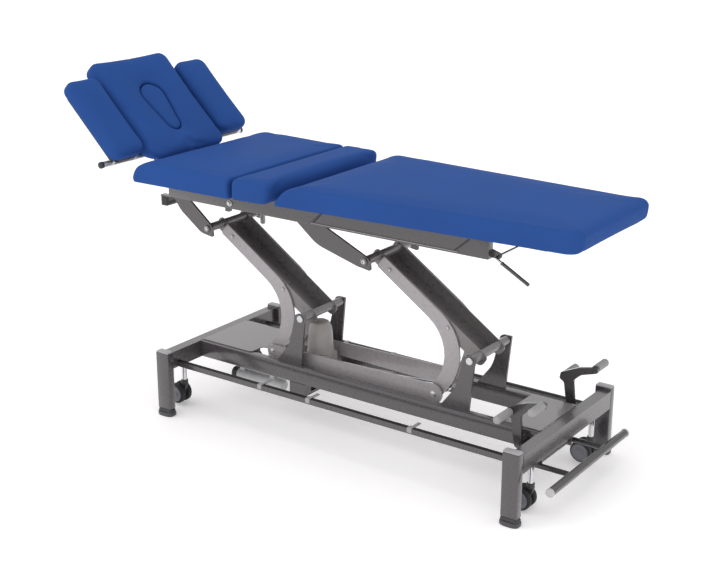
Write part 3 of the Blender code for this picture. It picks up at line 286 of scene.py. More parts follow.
# Leg caps: moulded light-grey plastic plugs pressed into the open tops of the leg tubes,
# each a flat plate with a soft rim that stands a few millimetres proud.
CAP_HEIGHT = 0.0040
CAP_SEAT = 0.0002
CAP_CORNER = 0.005
CAP_RIM = ((0.0010, 0.0), (0.0, 0.0006), (0.0, 0.6 * CAP_HEIGHT), (0.0010, 0.9 * CAP_HEIGHT),
           (0.0040, CAP_HEIGHT))
CAP_GREY = (0.40, 0.39, 0.40, 1.0)

# Moulded skin: the fine spark texture of a plastic or rubber moulding, with faint tone drift.
MOULDED_TAKES = [("Colour", "Color", CAP_GREY), ("Gloss", "Float", 0.4), ("Grain", "Float", 0.00004)]
moulded, start, end = group_of("moulded_skin", MOULDED_TAKES, SKIN_GIVES)
spot = put(moulded, "TexCoord").outputs["Object"]
grain = noise(moulded, spot, 900.0, 2.0)
drift = noise(moulded, spot, 18.0, 3.0)
tone = scaled(moulded, drift, 0.3, 0.7, 0.93, 1.06)
moulded.links.new(toned(moulded, start.outputs["Colour"], tone), end.inputs["Colour"])
sheen = scaled(moulded, drift, 0.3, 0.7, 0.9, 1.12)
moulded.links.new(times(moulded, start.outputs["Gloss"], sheen), end.inputs["Roughness"])
moulded.links.new(times(moulded, grain, start.outputs["Grain"]), end.inputs["Height"])


def moulding(name, colour, gloss=0.4, grain=0.00004, shine=0.5):
    material, tree, shader = shader_of(name)
    skin = placed(tree, moulded, Colour=colour, Gloss=gloss, Grain=grain)
    surfaced(tree, shader, skin)
    tree.links.new(skin.outputs["Colour"], shader.inputs["Base Color"])
    shader.inputs["Specular IOR Level"].default_value = shine
    return material


def lofted(loops):
    mesh = bmesh.new()
    rows = [[mesh.verts.new(point) for point in loop] for loop in loops]
    for lower, upper in zip(rows, rows[1:]):
        for i in range(len(lower)):
            j = (i + 1) % len(lower)
            mesh.faces.new((lower[i], lower[j], upper[j], upper[i]))
    mesh.faces.new(list(reversed(rows[0])))
    mesh.faces.new(rows[-1])
    bmesh.ops.recalc_face_normals(mesh, faces=mesh.faces)
    return mesh


def slab_loop(a, b, corner, inset, steps=4):
    # Rounded rectangle between a and b in plan, drawn in by inset.
    radius = max(corner - inset, 0.0004)
    low = (a[0] + inset + radius, b[0] + inset + radius)
    high = (a[1] - inset - radius, b[1] - inset - radius)
    loop = []
    for turn, cx, cy in ((0, high[0], low[1]), (1, high[0], high[1]), (2, low[0], high[1]), (3, low[0], low[1])):
        for k in range(steps + 1):
            angle = math.pi / 2 * (turn - 1 + k / steps)
            loop.append((cx + radius * math.cos(angle), cy + radius * math.sin(angle)))
    return loop


def piece(name, mesh, body, material):
    data = bpy.data.meshes.new(name)
    mesh.to_mesh(data)
    mesh.free()
    data.shade_smooth()
    data.set_sharp_from_angle(angle=SMOOTH_ANGLE)
    data.materials.append(material)
    thing = bpy.data.objects.new(name, data)
    bpy.context.collection.objects.link(thing)
    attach(thing, body)
    return thing


cap_plastic = moulding("leg_cap_plastic", CAP_GREY, 0.35)
for corner in CORNERS:
    low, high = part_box(f"leg_{corner}")
    loops = []
    for inset, rise in CAP_RIM:
        outline = slab_loop((low.x, high.x), (low.y, high.y), CAP_CORNER, inset)
        loops.append([(x, y, high.z + CAP_SEAT + rise) for x, y in outline])
    piece(f"leg_cap_{corner}", lofted(loops), "base", cap_plastic)

# Feet: dark moulded rubber shoes pushed over the lower leg ends, with the flat underside that
# stands on the floor. An oval glide in dark-grey plastic is clipped round each shoe.
GLIDE_REACH = (0.0335, 0.0225)
GLIDE_RISE = ((0.90, 0.0004), (0.97, 0.0012), (1.0, 0.0040), (1.0, 0.0105), (0.985, 0.0130),
              (0.94, 0.0145), (0.80, 0.0150))
GLIDE_POWER = 0.68
foot_rubber = moulding("foot_rubber", (0.045, 0.044, 0.047, 1.0), 0.45, 0.00008, 0.4)
glide_plastic = moulding("glide_plastic", (0.060, 0.058, 0.062, 1.0), 0.34, 0.00005, 0.5)
dress([f"foot_{corner}" for corner in CORNERS], foot_rubber)


def oval(reach, share, count=48):
    # A squared-off oval, fuller at its corners than an ellipse.
    loop = []
    for k in range(count):
        c, s = math.cos(2 * math.pi * k / count), math.sin(2 * math.pi * k / count)
        x, y = math.copysign(abs(c) ** GLIDE_POWER, c), math.copysign(abs(s) ** GLIDE_POWER, s)
        loop.append((reach[0] * share * x, reach[1] * share * y))
    return loop


for corner in CORNERS:
    low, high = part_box(f"foot_{corner}")
    middle = (low + high) / 2
    loops = []
    for share, rise in GLIDE_RISE:
        loops.append([(middle.x + x, middle.y + y, rise) for x, y in oval(GLIDE_REACH, share)])
    piece(f"foot_glide_{corner}", lofted(loops), "base", glide_plastic)

# Castors: a plated bar inside each cross-beam carries two stems with black nylon forks. Twin
# wheels have dark tyres and dished grey hub discs, clipped onto the axle ends.
HUB_RADIUS = 0.0290
HUB_PROUD = 0.0022
HUB_PROFILE = ((-0.0040, HUB_RADIUS), (0.0010, HUB_RADIUS), (HUB_PROUD, HUB_RADIUS - 0.0010),
               (HUB_PROUD, HUB_RADIUS - 0.0026), (0.0008, HUB_RADIUS - 0.0040), (0.0004, 0.0135),
               (0.0018, 0.0105), (0.0026, 0.0098), (0.0030, 0.0060), (0.0030, 0.0))
PLATING_TONES = ((0.58, 0.585, 0.60, 1.0), (0.68, 0.68, 0.69, 1.0))

# Plating: bright chrome with faint wiping marks and a slow change of polish.
plating, start, end = group_of("plating", [("Polish", "Float", 0.10)], SKIN_GIVES)
spot = put(plating, "TexCoord").outputs["Object"]
smear = noise(plating, spot, 35.0, 4.0)
drawn = put(plating, "Mapping", {"Vector": spot, "Scale": (60.0, 900.0, 900.0)}).outputs[0]
marks = put(plating, "TexNoise", {"Vector": drawn, "Scale": 1.0}).outputs["Fac"]
clouded = scaled(plating, smear, 0.3, 0.7, 0.0, 1.0)
plating.links.new(mixed(plating, clouded, *PLATING_TONES), end.inputs["Colour"])
wiped = scaled(plating, smear, 0.3, 0.7, 0.7, 1.6)
plating.links.new(times(plating, start.outputs["Polish"], wiped), end.inputs["Roughness"])
plating.links.new(times(plating, marks, 0.00001), end.inputs["Height"])


def plated(name, polish):
    material, tree, shader = shader_of(name)
    skin = placed(tree, plating, Polish=polish)
    surfaced(tree, shader, skin)
    tree.links.new(skin.outputs["Colour"], shader.inputs["Base Color"])
    shader.inputs["Metallic"].default_value = 1.0
    return material


def lathed(profile, spot, sides=28):
    # Profile of (along, radius) about the local Z axis of the spot; a zero radius is a point.
    mesh = bmesh.new()
    rows = []
    turns = [2 * math.pi * k / sides for k in range(sides)]
    for along, radius in profile:
        ring = turns if radius > 0 else turns[:1]
        rows.append([mesh.verts.new((radius * math.cos(a), radius * math.sin(a), along)) for a in ring])
    for lower, upper in zip(rows, rows[1:]):
        for k in range(sides):
            j = k + 1
            ring = [lower[k % len(lower)], lower[j % len(lower)], upper[j % len(upper)], upper[k % len(upper)]]
            corners = list(dict.fromkeys(ring))
            if len(corners) > 2:
                mesh.faces.new(corners)
    for row in (rows[0], rows[-1]):
        if len(row) > 1:
            mesh.faces.new(row)
    bmesh.ops.recalc_face_normals(mesh, faces=mesh.faces)
    bmesh.ops.transform(mesh, matrix=spot, verts=mesh.verts)
    return mesh


def facing(spot, way):
    # A frame at the spot whose Z axis points the given way.
    return Matrix.Translation(spot) @ Vector((0.0, 0.0, 1.0)).rotation_difference(Vector(way)).to_matrix().to_4x4()


chrome = plated("bright_chrome", 0.10)
tyre = moulding("tyre_rubber", (0.030, 0.030, 0.033, 1.0), 0.6, 0.00008, 0.3)
nylon = moulding("fork_nylon", (0.035, 0.035, 0.038, 1.0), 0.42)
hub_grey = moulding("hub_plastic", (0.16, 0.165, 0.18, 1.0), 0.38)
dress(["castor_bar_head", "castor_bar_foot"], chrome)
dress([f"castor_fork_{corner}" for corner in CORNERS], nylon)
dress([f"castor_wheels_{corner}" for corner in CORNERS], tyre)
for corner in CORNERS:
    low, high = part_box(f"castor_wheels_{corner}")
    middle = (low + high) / 2
    for face, side in SIDES:
        spot = facing((middle.x, low.y if side < 0 else high.y, middle.z), (0.0, side, 0.0))
        disc = lathed(HUB_PROFILE, spot, 40)
        piece(f"hub_disc_{corner}_{face}", disc, f"spin_{corner}", hub_grey)

# Foot controls: coated steel rockers and bars. The rocker treads wear ribbed light-grey
# sleeves, the foot bars hang in small light clips, and the lift bar has light end caps.
SLEEVE_RADIUS = 0.0132
SLEEVE_START = 0.1835
RIB_PITCH = 0.0045
GROOVE_RADIUS = SLEEVE_RADIUS - 0.0007
PEDAL_AXIS = (0.646, 0.200)
TREADS = {"heel": (-0.033, 0.100, 0.264), "toe": (0.075, 0.146, 0.252)}
LIFT_CAP_START = 0.2570
BAR_SPOT = (0.250, 0.180)
BAR_CLIPS = (-0.310, -0.104, 0.300)
CLIP_HALF = 0.009
sleeve_grey = moulding("sleeve_rubber", (0.33, 0.325, 0.33, 1.0), 0.5, 0.00006)
end_grey = moulding("end_cap_plastic", (0.52, 0.51, 0.52, 1.0), 0.4)
dark_coat = coat("dark_coat", (0.030, 0.028, 0.029, 1.0))
dress(["foot_bar_near", "foot_bar_far"], anthracite)
dress(["pedal_near", "pedal_far", "lift_pedal"], dark_coat)


def bar_along(span, y_span, z_span, corner, ease=0.0012):
    # A bar of rounded rectangular section that runs along X, with eased ends.
    ends = ((span[0], ease), (span[0] + ease, 0.0), (span[1] - ease, 0.0), (span[1], ease))
    return lofted([[(x, y, z) for y, z in slab_loop(y_span, z_span, corner, inset)] for x, inset in ends])


def joined(*meshes):
    whole = meshes[0]
    for mesh in meshes[1:]:
        data = bpy.data.meshes.new("joining")
        mesh.to_mesh(data)
        mesh.free()
        whole.from_mesh(data)
        bpy.data.meshes.remove(data)
    return whole


clip_plastic = moulding("clip_plastic", (0.34, 0.335, 0.34, 1.0), 0.4)
tread_rubber = moulding("tread_rubber", (0.016, 0.016, 0.017, 1.0), 0.6, 0.00010, 0.3)
for name, side in SIDES:
    for tread, (ahead, above, tip) in TREADS.items():
        spot = facing((base_x + PEDAL_AXIS[0] + ahead, 0.0, PEDAL_AXIS[1] + above), (0.0, side, 0.0))
        profile = [(SLEEVE_START, 0.0118), (SLEEVE_START, 0.0126), (SLEEVE_START + 0.0012, SLEEVE_RADIUS)]
        ribs = int((tip - SLEEVE_START - 0.010) / RIB_PITCH)
        for k in range(ribs):
            at = SLEEVE_START + RIB_PITCH * (k + 1)
            profile += [(at - 0.0006, SLEEVE_RADIUS), (at, GROOVE_RADIUS),
                        (at + 0.0008, GROOVE_RADIUS), (at + 0.0014, SLEEVE_RADIUS)]
        profile += [(tip - 0.0030, SLEEVE_RADIUS), (tip - 0.0008, SLEEVE_RADIUS - 0.0010),
                    (tip + 0.0010, SLEEVE_RADIUS - 0.0035), (tip + 0.0018, SLEEVE_RADIUS - 0.0080),
                    (tip + 0.0020, 0.0)]
        piece(f"tread_sleeve_{tread}_{name}", lathed(profile, spot), f"pedal_{name}", sleeve_grey)
    low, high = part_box(f"foot_bar_{name}")
    y, z = side * BAR_SPOT[0], BAR_SPOT[1]
    sleeve = bar_along((low.x + 0.003, high.x - 0.003), (y - 0.0092, y + 0.0092), (z - 0.0104, z + 0.0088), 0.0025)
    piece(f"bar_sleeve_{name}", sleeve, f"foot_bar_{name}", anthracite)
    strip = bar_along((low.x + 0.006, high.x - 0.006), (y - 0.0080, y + 0.0080), (z + 0.0078, z + 0.0100), 0.0010)
    piece(f"bar_tread_{name}", strip, f"foot_bar_{name}", tread_rubber)
    for number, along in enumerate(BAR_CLIPS):
        span = (base_x + along - CLIP_HALF, base_x + along + CLIP_HALF)
        saddle = bar_along(span, (y - 0.0112, y + 0.0112), (z - 0.0060, z + 0.0116), 0.003)
        reach = sorted((y - side * 0.0100, y - side * 0.0520))
        tongue = bar_along((span[0] + 0.003, span[1] - 0.003), reach, (z + 0.0040, z + 0.0080), 0.0012, 0.0006)
        clip = joined(saddle, tongue)
        piece(f"bar_clip_{name}_{number}", clip, f"foot_bar_{name}", clip_plastic)
    low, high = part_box("lift_pedal")
    spot = facing((high.x - 0.0135, 0.0, (low.z + high.z) / 2), (0.0, side, 0.0))
    profile = [(LIFT_CAP_START, 0.0136), (LIFT_CAP_START, 0.0140), (LIFT_CAP_START + 0.0008, 0.0144),
               (0.2615, 0.0144), (0.2640, 0.0136), (0.2652, 0.0112), (0.2655, 0.0060), (0.2650, 0.0)]
    piece(f"lift_bar_cap_{name}", lathed(profile, spot, 32), "lift", end_grey)

# Lift levers: folded steel channels in anthracite with light-grey boomerang plates bolted to
# their sides, tie plates between the crank ends, and zinc-plated axles and bolts.
PLATE_GREY = (0.345, 0.325, 0.336, 1.0)
LEVER_TILT = math.radians(34.0)
LEVER_PIVOTS = {"front": (-0.238, 0.402), "rear": (0.4312, 0.402)}
LEVER_REACH = 0.468
PLATE_FACE = 0.0660
PLATE_BOLTS = ((-0.4072, -0.007), (-0.1357, -0.007))
PLATE_HEAD = (0.0062, 0.0045)
HANGER_HEAD = (0.0092, 0.0075)
TIE_HEAD = (0.7, 0.0055)
HANGER_FACE = 0.1503
TIE_FACE = 0.0800
TIE_PINS = ((-0.3959, 0.2395, 0.0105), (0.2733, 0.2395, 0.0130))
plate_coat = coat("light_grey_coat", PLATE_GREY, 0.1, 0.05)
zinc = plated("bright_zinc", 0.38)
dress([f"{lever}_plate_{side}" for lever in LEVER_PIVOTS for side in ("near", "far")], plate_coat)
dress(["tie_plate_near", "tie_plate_far"], plate_coat)
# Channel coat: the channels are the same anthracite. The much lighter grey given here is a painted reflection of
# the white surround in their shaded webs.
lever_reflection_coat = coat("lever_reflection_coat", (0.165, 0.152, 0.152, 1.0))
dress(["front_channel", "rear_channel"], lever_reflection_coat)
dress(["front_base_axle", "rear_base_axle"], zinc)


def button_bolt(spot, radius, height):
    # A low domed head on a thin washer, with a small socket sunk in its crown.
    rim = [(0.0, radius * 1.16), (height * 0.14, radius * 1.16),
           (height * 0.18, radius * 1.10), (height * 0.18, radius)]
    crown = [(height * (0.30 + 0.70 * math.sin(a)), radius * math.cos(a)) for a in (0.25, 0.55, 0.9, 1.2)]
    socket = [(height * 0.99, radius * 0.26), (height * 0.70, radius * 0.24), (height * 0.70, 0.0)]
    return lathed(rim + crown + socket, spot, 24)


for lever, (px, pz) in LEVER_PIVOTS.items():
    lever_frame = Matrix.Translation((base_x + px, 0.0, pz)) @ Matrix.Rotation(LEVER_TILT, 4, "Y")
    for name, side in SIDES:
        for number, (ax, az) in enumerate(PLATE_BOLTS):
            spot = facing(lever_frame @ Vector((ax, side * (PLATE_FACE + 0.0001), az)), (0.0, side, 0.0))
            bolt = button_bolt(spot, *PLATE_HEAD)
            piece(f"{lever}_plate_bolt_{name}_{number}", bolt, f"{lever}_lever", zinc)
        spot = facing(lever_frame @ Vector((-LEVER_REACH, side * (HANGER_FACE - 0.0058), 0.0)), (0.0, side, 0.0))
        piece(f"{lever}_hanger_bolt_{name}", button_bolt(spot, *HANGER_HEAD), f"{lever}_lever", zinc)
for name, side in SIDES:
    for number, (px, pz, radius) in enumerate(TIE_PINS):
        spot = facing((base_x + px, side * (TIE_FACE + 0.0001), pz), (0.0, side, 0.0))
        bolt = button_bolt(spot, radius * TIE_HEAD[0], TIE_HEAD[1])
        piece(f"tie_bolt_{name}_{number}", bolt, "tie", zinc)

# Actuator and control unit: a bell-shaped motor housing in beige-grey moulded plastic with a
# plated thrust rod, and a light-grey capsule under the head tray closed by a black end cap.
UNIT_CAP_LENGTH = 0.026
beige = moulding("housing_plastic", (0.37, 0.345, 0.335, 1.0), 0.42, 0.00006)
unit_grey = moulding("unit_plastic", (0.55, 0.55, 0.555, 1.0), 0.38)
# Black plastic for the real black parts, also used as painted shade in the rail recess ends.
black_plastic_and_shade = moulding("black_plastic_and_shade", (0.018, 0.018, 0.019, 1.0), 0.4)
dress(["actuator_motor"], beige)
dress(["actuator_rod"], chrome)
dress(["control_unit"], unit_grey)
low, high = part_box("control_unit")
spot = facing((low.x - 0.0010, 0.0, low.z + 0.021), (1.0, 0.0, 0.0))
profile = [(0.0, 0.0), (0.0, 0.0150), (0.0015, 0.0190), (0.0060, 0.0226),
           (UNIT_CAP_LENGTH - 0.006, 0.0226), (UNIT_CAP_LENGTH - 0.005, 0.0236),
           (UNIT_CAP_LENGTH - 0.001, 0.0236), (UNIT_CAP_LENGTH, 0.0226), (UNIT_CAP_LENGTH, 0.0205)]
piece("unit_end_cap", lathed(profile, spot, 36), "base", black_plastic_and_shade)

# Top frame: two long rails of rectangular tube with slanted hangers and a square cross tube at
# the head end, welded and coated. Black plugs close the tube; each rail has a bolt and a tab.
RAIL_BOLT = (-0.505, 0.777)
RAIL_FACE = 0.1610
TUBE_FACE = 0.1500
RAIL_UNDERSIDE = 0.7573
RAIL_HEAD = (0.0115, 0.0075)
TUBE_CORNER = 0.004
TUBE_PLUG = ((0.0, 0.0002), (0.0, 0.0024), (0.0012, 0.0034), (0.0040, 0.0038))
RECESS = {"head": (-0.162, 0.049), "foot": (0.404, 0.043)}
RECESS_EDGES = (0.7633, 0.8113)
TAB_SPAN = (-0.531, -0.513)
TAB_ACROSS = (0.138, 0.156)
dress(["rail_near", "rail_far", "rail_cross_head", "mid_frame"], anthracite)


def hex_bolt(spot, across, height):
    # A round washer under a six-sided head with chamfered corners.
    rim = [(0.0, across * 0.95), (height * 0.2, across * 0.95),
           (height * 0.28, across * 0.86), (height * 0.28, across * 0.5)]
    sixths = [math.pi / 3 * k for k in range(6)]
    loops = []
    for share, lift in ((0.58, 0.28), (0.58, 0.86), (0.50, 1.0)):
        reach = across * share * 1.1547
        loops.append([(reach * math.cos(a), reach * math.sin(a), height * lift) for a in sixths])
    bolt = joined(lathed(rim, Matrix.Identity(4), 28), lofted(loops))
    bmesh.ops.transform(bolt, matrix=spot, verts=bolt.verts)
    return bolt


def plate_along(outline, y_span, ease=0.0006):
    # A flat plate cut to an outline in X and Z, with lightly broken edges.
    centre = [sum(point[axis] for point in outline) / len(outline) for axis in (0, 1)]
    ends = ((y_span[0], 1.0), (y_span[0] + ease, 0.0), (y_span[1] - ease, 0.0), (y_span[1], 1.0))
    loops = []
    for y, drawn in ends:
        loop = []
        for x, z in outline:
            way = Vector((centre[0] - x, centre[1] - z)).normalized() * ease * drawn
            loop.append((base_x + x + way.x, y, z + way.y))
        loops.append(loop)
    return lofted(loops)


# Pale coat: the real light grey of the spring lug below, and on the rails a painted highlight, a light strip where
# the recess's lower lip catches the light.
lug_grey_and_lip_highlight = coat("lug_grey_and_lip_highlight_coat", (0.36, 0.35, 0.36, 1.0), 0.1, 0.1)
low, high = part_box("rail_cross_head")
for name, side in SIDES:
    face = sorted((side * (RAIL_FACE - 0.0024), side * (RAIL_FACE + 0.0006)))
    # Painted highlight: a light-grey strip along the lower lip of the recess.
    lip_highlight_strip = bar_along((base_x + RECESS["head"][0] + 0.004, base_x + RECESS["foot"][0] - 0.002), face,
                    (RECESS_EDGES[0] - 0.0006, RECESS_EDGES[0] + 0.0022), 0.0008, 0.0004)
    piece(f"recess_lip_highlight_{name}", lip_highlight_strip, "top", lug_grey_and_lip_highlight)
    # Painted shade: thin black plates set in the slanted ends of each recess stand for the shadow there.
    for end, (foot_x, slant) in RECESS.items():
        way = 1 if end == "head" else -1
        lower, upper, top_x = RECESS_EDGES[0] + 0.004, RECESS_EDGES[1] - 0.001, foot_x + slant
        outline = ((foot_x + way * 0.010, lower), (foot_x + way * 0.017, lower),
                   (top_x + way * 0.010, upper), (top_x + way * 0.003, upper))
        slot = plate_along(outline, sorted((side * (RAIL_FACE - 0.0024), side * (RAIL_FACE - 0.0012))), 0.0003)
        piece(f"recess_end_shade_{end}_{name}", slot, "top", black_plastic_and_shade)
    across = sorted(side * reach for reach in TAB_ACROSS)
    tab = bar_along((base_x + TAB_SPAN[0], base_x + TAB_SPAN[1]), across,
                    (RAIL_UNDERSIDE - 0.0135, RAIL_UNDERSIDE - 0.0003), 0.002, 0.001)
    piece(f"rail_tab_{name}", tab, "top", anthracite)
    spot = facing((base_x + RAIL_BOLT[0], side * (RAIL_FACE + 0.0002), RAIL_BOLT[1]), (0.0, side, 0.0))
    piece(f"rail_bolt_{name}", hex_bolt(spot, *RAIL_HEAD), "top", zinc)
    loops = []
    for inset, out in TUBE_PLUG:
        outline = slab_loop((low.x, high.x), (low.z, high.z), TUBE_CORNER, inset)
        loops.append([(x, side * (TUBE_FACE + out), z) for x, z in outline])
    piece(f"tube_plug_{name}", lofted(loops), "top", black_plastic_and_shade)

# Release rod and grip: a bent chromed rod whose free arm wears a sleeve in the frame's grey,
# pushed on from the end, with a round tip and a small collar where it starts behind the bend.
RELEASE_ELBOW = (0.530, -0.158, 0.768)
RELEASE_DROP = math.radians(29.0)
GRIP_SPAN = (0.026, 0.134)
GRIP_RADIUS = 0.0056
COLLAR_RADIUS = GRIP_RADIUS + 0.0010
dress(["release_lever"], chrome)
way = Vector((math.cos(RELEASE_DROP), 0.0, -math.sin(RELEASE_DROP)))
spot = facing(Vector((base_x, 0.0, 0.0)) + Vector(RELEASE_ELBOW) + way * GRIP_SPAN[0], way)
reach = GRIP_SPAN[1] - GRIP_SPAN[0]
profile = [(0.0, 0.0042), (0.0, GRIP_RADIUS + 0.0006), (0.0008, COLLAR_RADIUS), (0.0034, COLLAR_RADIUS),
           (0.0042, GRIP_RADIUS), (reach - 0.003, GRIP_RADIUS), (reach - 0.0008, GRIP_RADIUS * 0.8),
           (reach, GRIP_RADIUS * 0.4), (reach, 0.0)]
piece("release_grip", lathed(profile, spot, 24), "release", anthracite)

# Spring lug: a light-grey steel plate on the inner face of the far rail that carries the
# eye of a spring strut, a short turned barrel with a collar, pointing straight down.
LUG_OUTLINE = ((-0.634, 0.706), (-0.602, 0.676), (-0.568, 0.676), (-0.562, 0.790), (-0.634, 0.790))
LUG_FACES = (0.1254, 0.1306)
LUG_PIN = (-0.589, 0.1155, 0.708, 0.6285)
BARREL_RADIUS = 0.0098
lug_plate = plate_along(LUG_OUTLINE, LUG_FACES)
spot = facing((base_x + LUG_PIN[0], LUG_PIN[1], LUG_PIN[2]), (0.0, 0.0, -1.0))
drop = LUG_PIN[2] - LUG_PIN[3]
profile = [(0.0, 0.0), (0.0, 0.0085), (0.0010, BARREL_RADIUS), (0.0300, BARREL_RADIUS), (0.0310, 0.0080),
           (0.0345, 0.0080), (0.0355, BARREL_RADIUS), (drop - 0.004, BARREL_RADIUS),
           (drop - 0.0015, 0.0088), (drop, 0.0060), (drop, 0.0)]
piece("spring_lug", joined(lug_plate, lathed(profile, spot, 28)), "top", lug_grey_and_lip_highlight)

# Section frames: flat steel bars with cross ties under the chest, leg and head pads, coated
# like the base. The armrests swing on chromed tubes with black tips under small boards.
HEAD_HINGE = (-0.830, 0.845)
HEAD_TILT = math.radians(44.7)
ARM_HINGE = (-0.085, -0.0151)
ARM_TIP = 0.370
TIP_PROFILE = ((0.0, 0.0112), (0.0, 0.0116), (0.0006, 0.0119), (0.0085, 0.0119), (0.0105, 0.0112),
               (0.0116, 0.0085), (0.0118, 0.0))
BOARD_X = (-0.3625, -0.0696)
BOARD_Y = (0.2216, 0.3304)
BOARD_BASE = -0.0055
BOARD_CORNER = 0.008
BOARD_EDGE = ((0.0020, 0.0), (0.0, 0.0020), (0.0, 0.0155), (0.0006, 0.0169))
head_hinge_spot = Matrix.Translation((base_x + HEAD_HINGE[0], 0.0, HEAD_HINGE[1]))
head_frame_spot = head_hinge_spot @ Matrix.Rotation(HEAD_TILT, 4, "Y")
dress(["chest_frame", "leg_frame", "head_frame"], anthracite)
dress(["armrest_arm_near", "armrest_arm_far"], plated("satin_chrome", 0.36))
for name, side in SIDES:
    tip = Vector((ARM_HINGE[0], side * (ARM_TIP - 0.010), ARM_HINGE[1]))
    spot = facing(head_frame_spot @ tip, (0.0, side, 0.0))
    piece(f"arm_tip_{name}", lathed(TIP_PROFILE, spot, 28), f"armrest_{name}", black_plastic_and_shade)
    loops = []
    for inset, height in BOARD_EDGE:
        outline = slab_loop(BOARD_X, BOARD_Y, BOARD_CORNER, inset)
        loops.append([head_frame_spot @ Vector((x, side * y, BOARD_BASE + height)) for x, y in outline])
    piece(f"armrest_board_{name}", lofted(loops), f"armrest_{name}", black_plastic_and_shade)

# Pads: firm foam on boards, upholstered in smooth royal-blue vinyl drawn over the edges and
# stapled under a dark dust cover. Each is swollen by a short cloth run from a slacker blank.
VINYL_BLUE = (0.026, 0.079, 0.280, 1.0)
ROLL = 0.020
CROWN = 0.003
FLAT_DRAW = 0.001
GRID = 0.0115
LIP = ((0.014, 0.0), (0.008, 0.0006), (0.0038, 0.0034), (0.0012, 0.0080), (0.0, 0.0140))
WALL_START = 0.014
WALL_STEP = 0.010
SWELL_LIMIT = 0.0045
SWELL_FRAMES = 20

# Vinyl skin: a fine pebbled emboss, soft ripples over the foam and a slow drift of tone.
skin_group, start, end = group_of("vinyl_skin", [("Colour", "Color", VINYL_BLUE)], SKIN_GIVES)
spot = put(skin_group, "TexCoord").outputs["Object"]
pebble = put(skin_group, "TexVoronoi", {"Vector": spot, "Scale": 620.0}, feature="SMOOTH_F1").outputs["Distance"]
ripple = noise(skin_group, spot, 11.0, 2.0)
drift = noise(skin_group, spot, 3.0, 4.0)
tone = scaled(skin_group, drift, 0.3, 0.7, 0.94, 1.06)
skin_group.links.new(toned(skin_group, start.outputs["Colour"], tone), end.inputs["Colour"])
skin_group.links.new(scaled(skin_group, drift, 0.3, 0.7, 0.50, 0.60), end.inputs["Roughness"])
heights = {0: times(skin_group, pebble, 0.00005), 1: times(skin_group, ripple, 0.0005)}
relief = put(skin_group, "Math", heights, operation="ADD").outputs[0]
skin_group.links.new(relief, end.inputs["Height"])
vinyl, tree, shader = shader_of("royal_blue_vinyl")
skin = placed(tree, skin_group, Colour=VINYL_BLUE)
tree.links.new(skin.outputs["Colour"], shader.inputs["Base Color"])
tree.links.new(skin.outputs["Roughness"], shader.inputs["Roughness"])
bump = put(tree, "Bump", {"Height": skin.outputs["Height"], "Distance": 1.0})
tree.links.new(bump.outputs["Normal"], shader.inputs["Normal"])
shader.inputs["Specular IOR Level"].default_value = 0.02
dust_cover = moulding("dust_cover_cloth", (0.022, 0.022, 0.024, 1.0), 0.8, 0.0002, 0.15)


def pad_loop(length, half, corners, inset, counts):
    # Evenly spaced points round a rounded rectangle, four sides from mid-corner to mid-corner.
    head, foot = (max(corner - inset, 0.005) for corner in corners)
    ends = ((foot, foot), (foot, head), (head, head), (head, foot))
    loop = []
    for side, (first, last) in enumerate(ends):
        ahead, reach, count = ((half, length, counts[1]), (length, half, counts[0]))[side % 2]
        start, stop, out = inset + first - ahead, ahead - inset - last, reach - inset
        bend, run = first * math.pi / 4, stop - start
        for k in range(count):
            t = (bend + run + last * math.pi / 4) * k / count
            if t < bend:
                angle = math.pi / 4 - t / first
                p, q = start - first * math.sin(angle), out - first + first * math.cos(angle)
            elif t < bend + run:
                p, q = start + t - bend, out
            else:
                angle = (t - bend - run) / last
                p, q = stop + last * math.sin(angle), out - last + last * math.cos(angle)
            loop.append([(q, p), (-p, q), (-q, -p), (p, -q)][side])
    return loop


def patch(loop, counts):
    # Inner points of a grid whose border is the loop, blended from its four sides.
    nx, ny = counts
    right, top = loop[:ny + 1], loop[ny:ny + nx + 1]
    left, low = loop[ny + nx:2 * ny + nx + 1], loop[2 * ny + nx:] + loop[:1]
    rows = []
    for j in range(1, ny):
        v = j / ny
        row = []
        for i in range(1, nx):
            u = i / nx
            spot = []
            for axis in (0, 1):
                sides = ((1 - v) * low[i][axis] + v * top[nx - i][axis]
                         + (1 - u) * left[ny - j][axis] + u * right[j][axis])
                ends = ((1 - u) * (1 - v) * low[0][axis] + u * (1 - v) * right[0][axis]
                        + u * v * top[0][axis] + (1 - u) * v * left[0][axis])
                spot.append(sides - ends)
            row.append(spot)
        rows.append(row)
    return rows


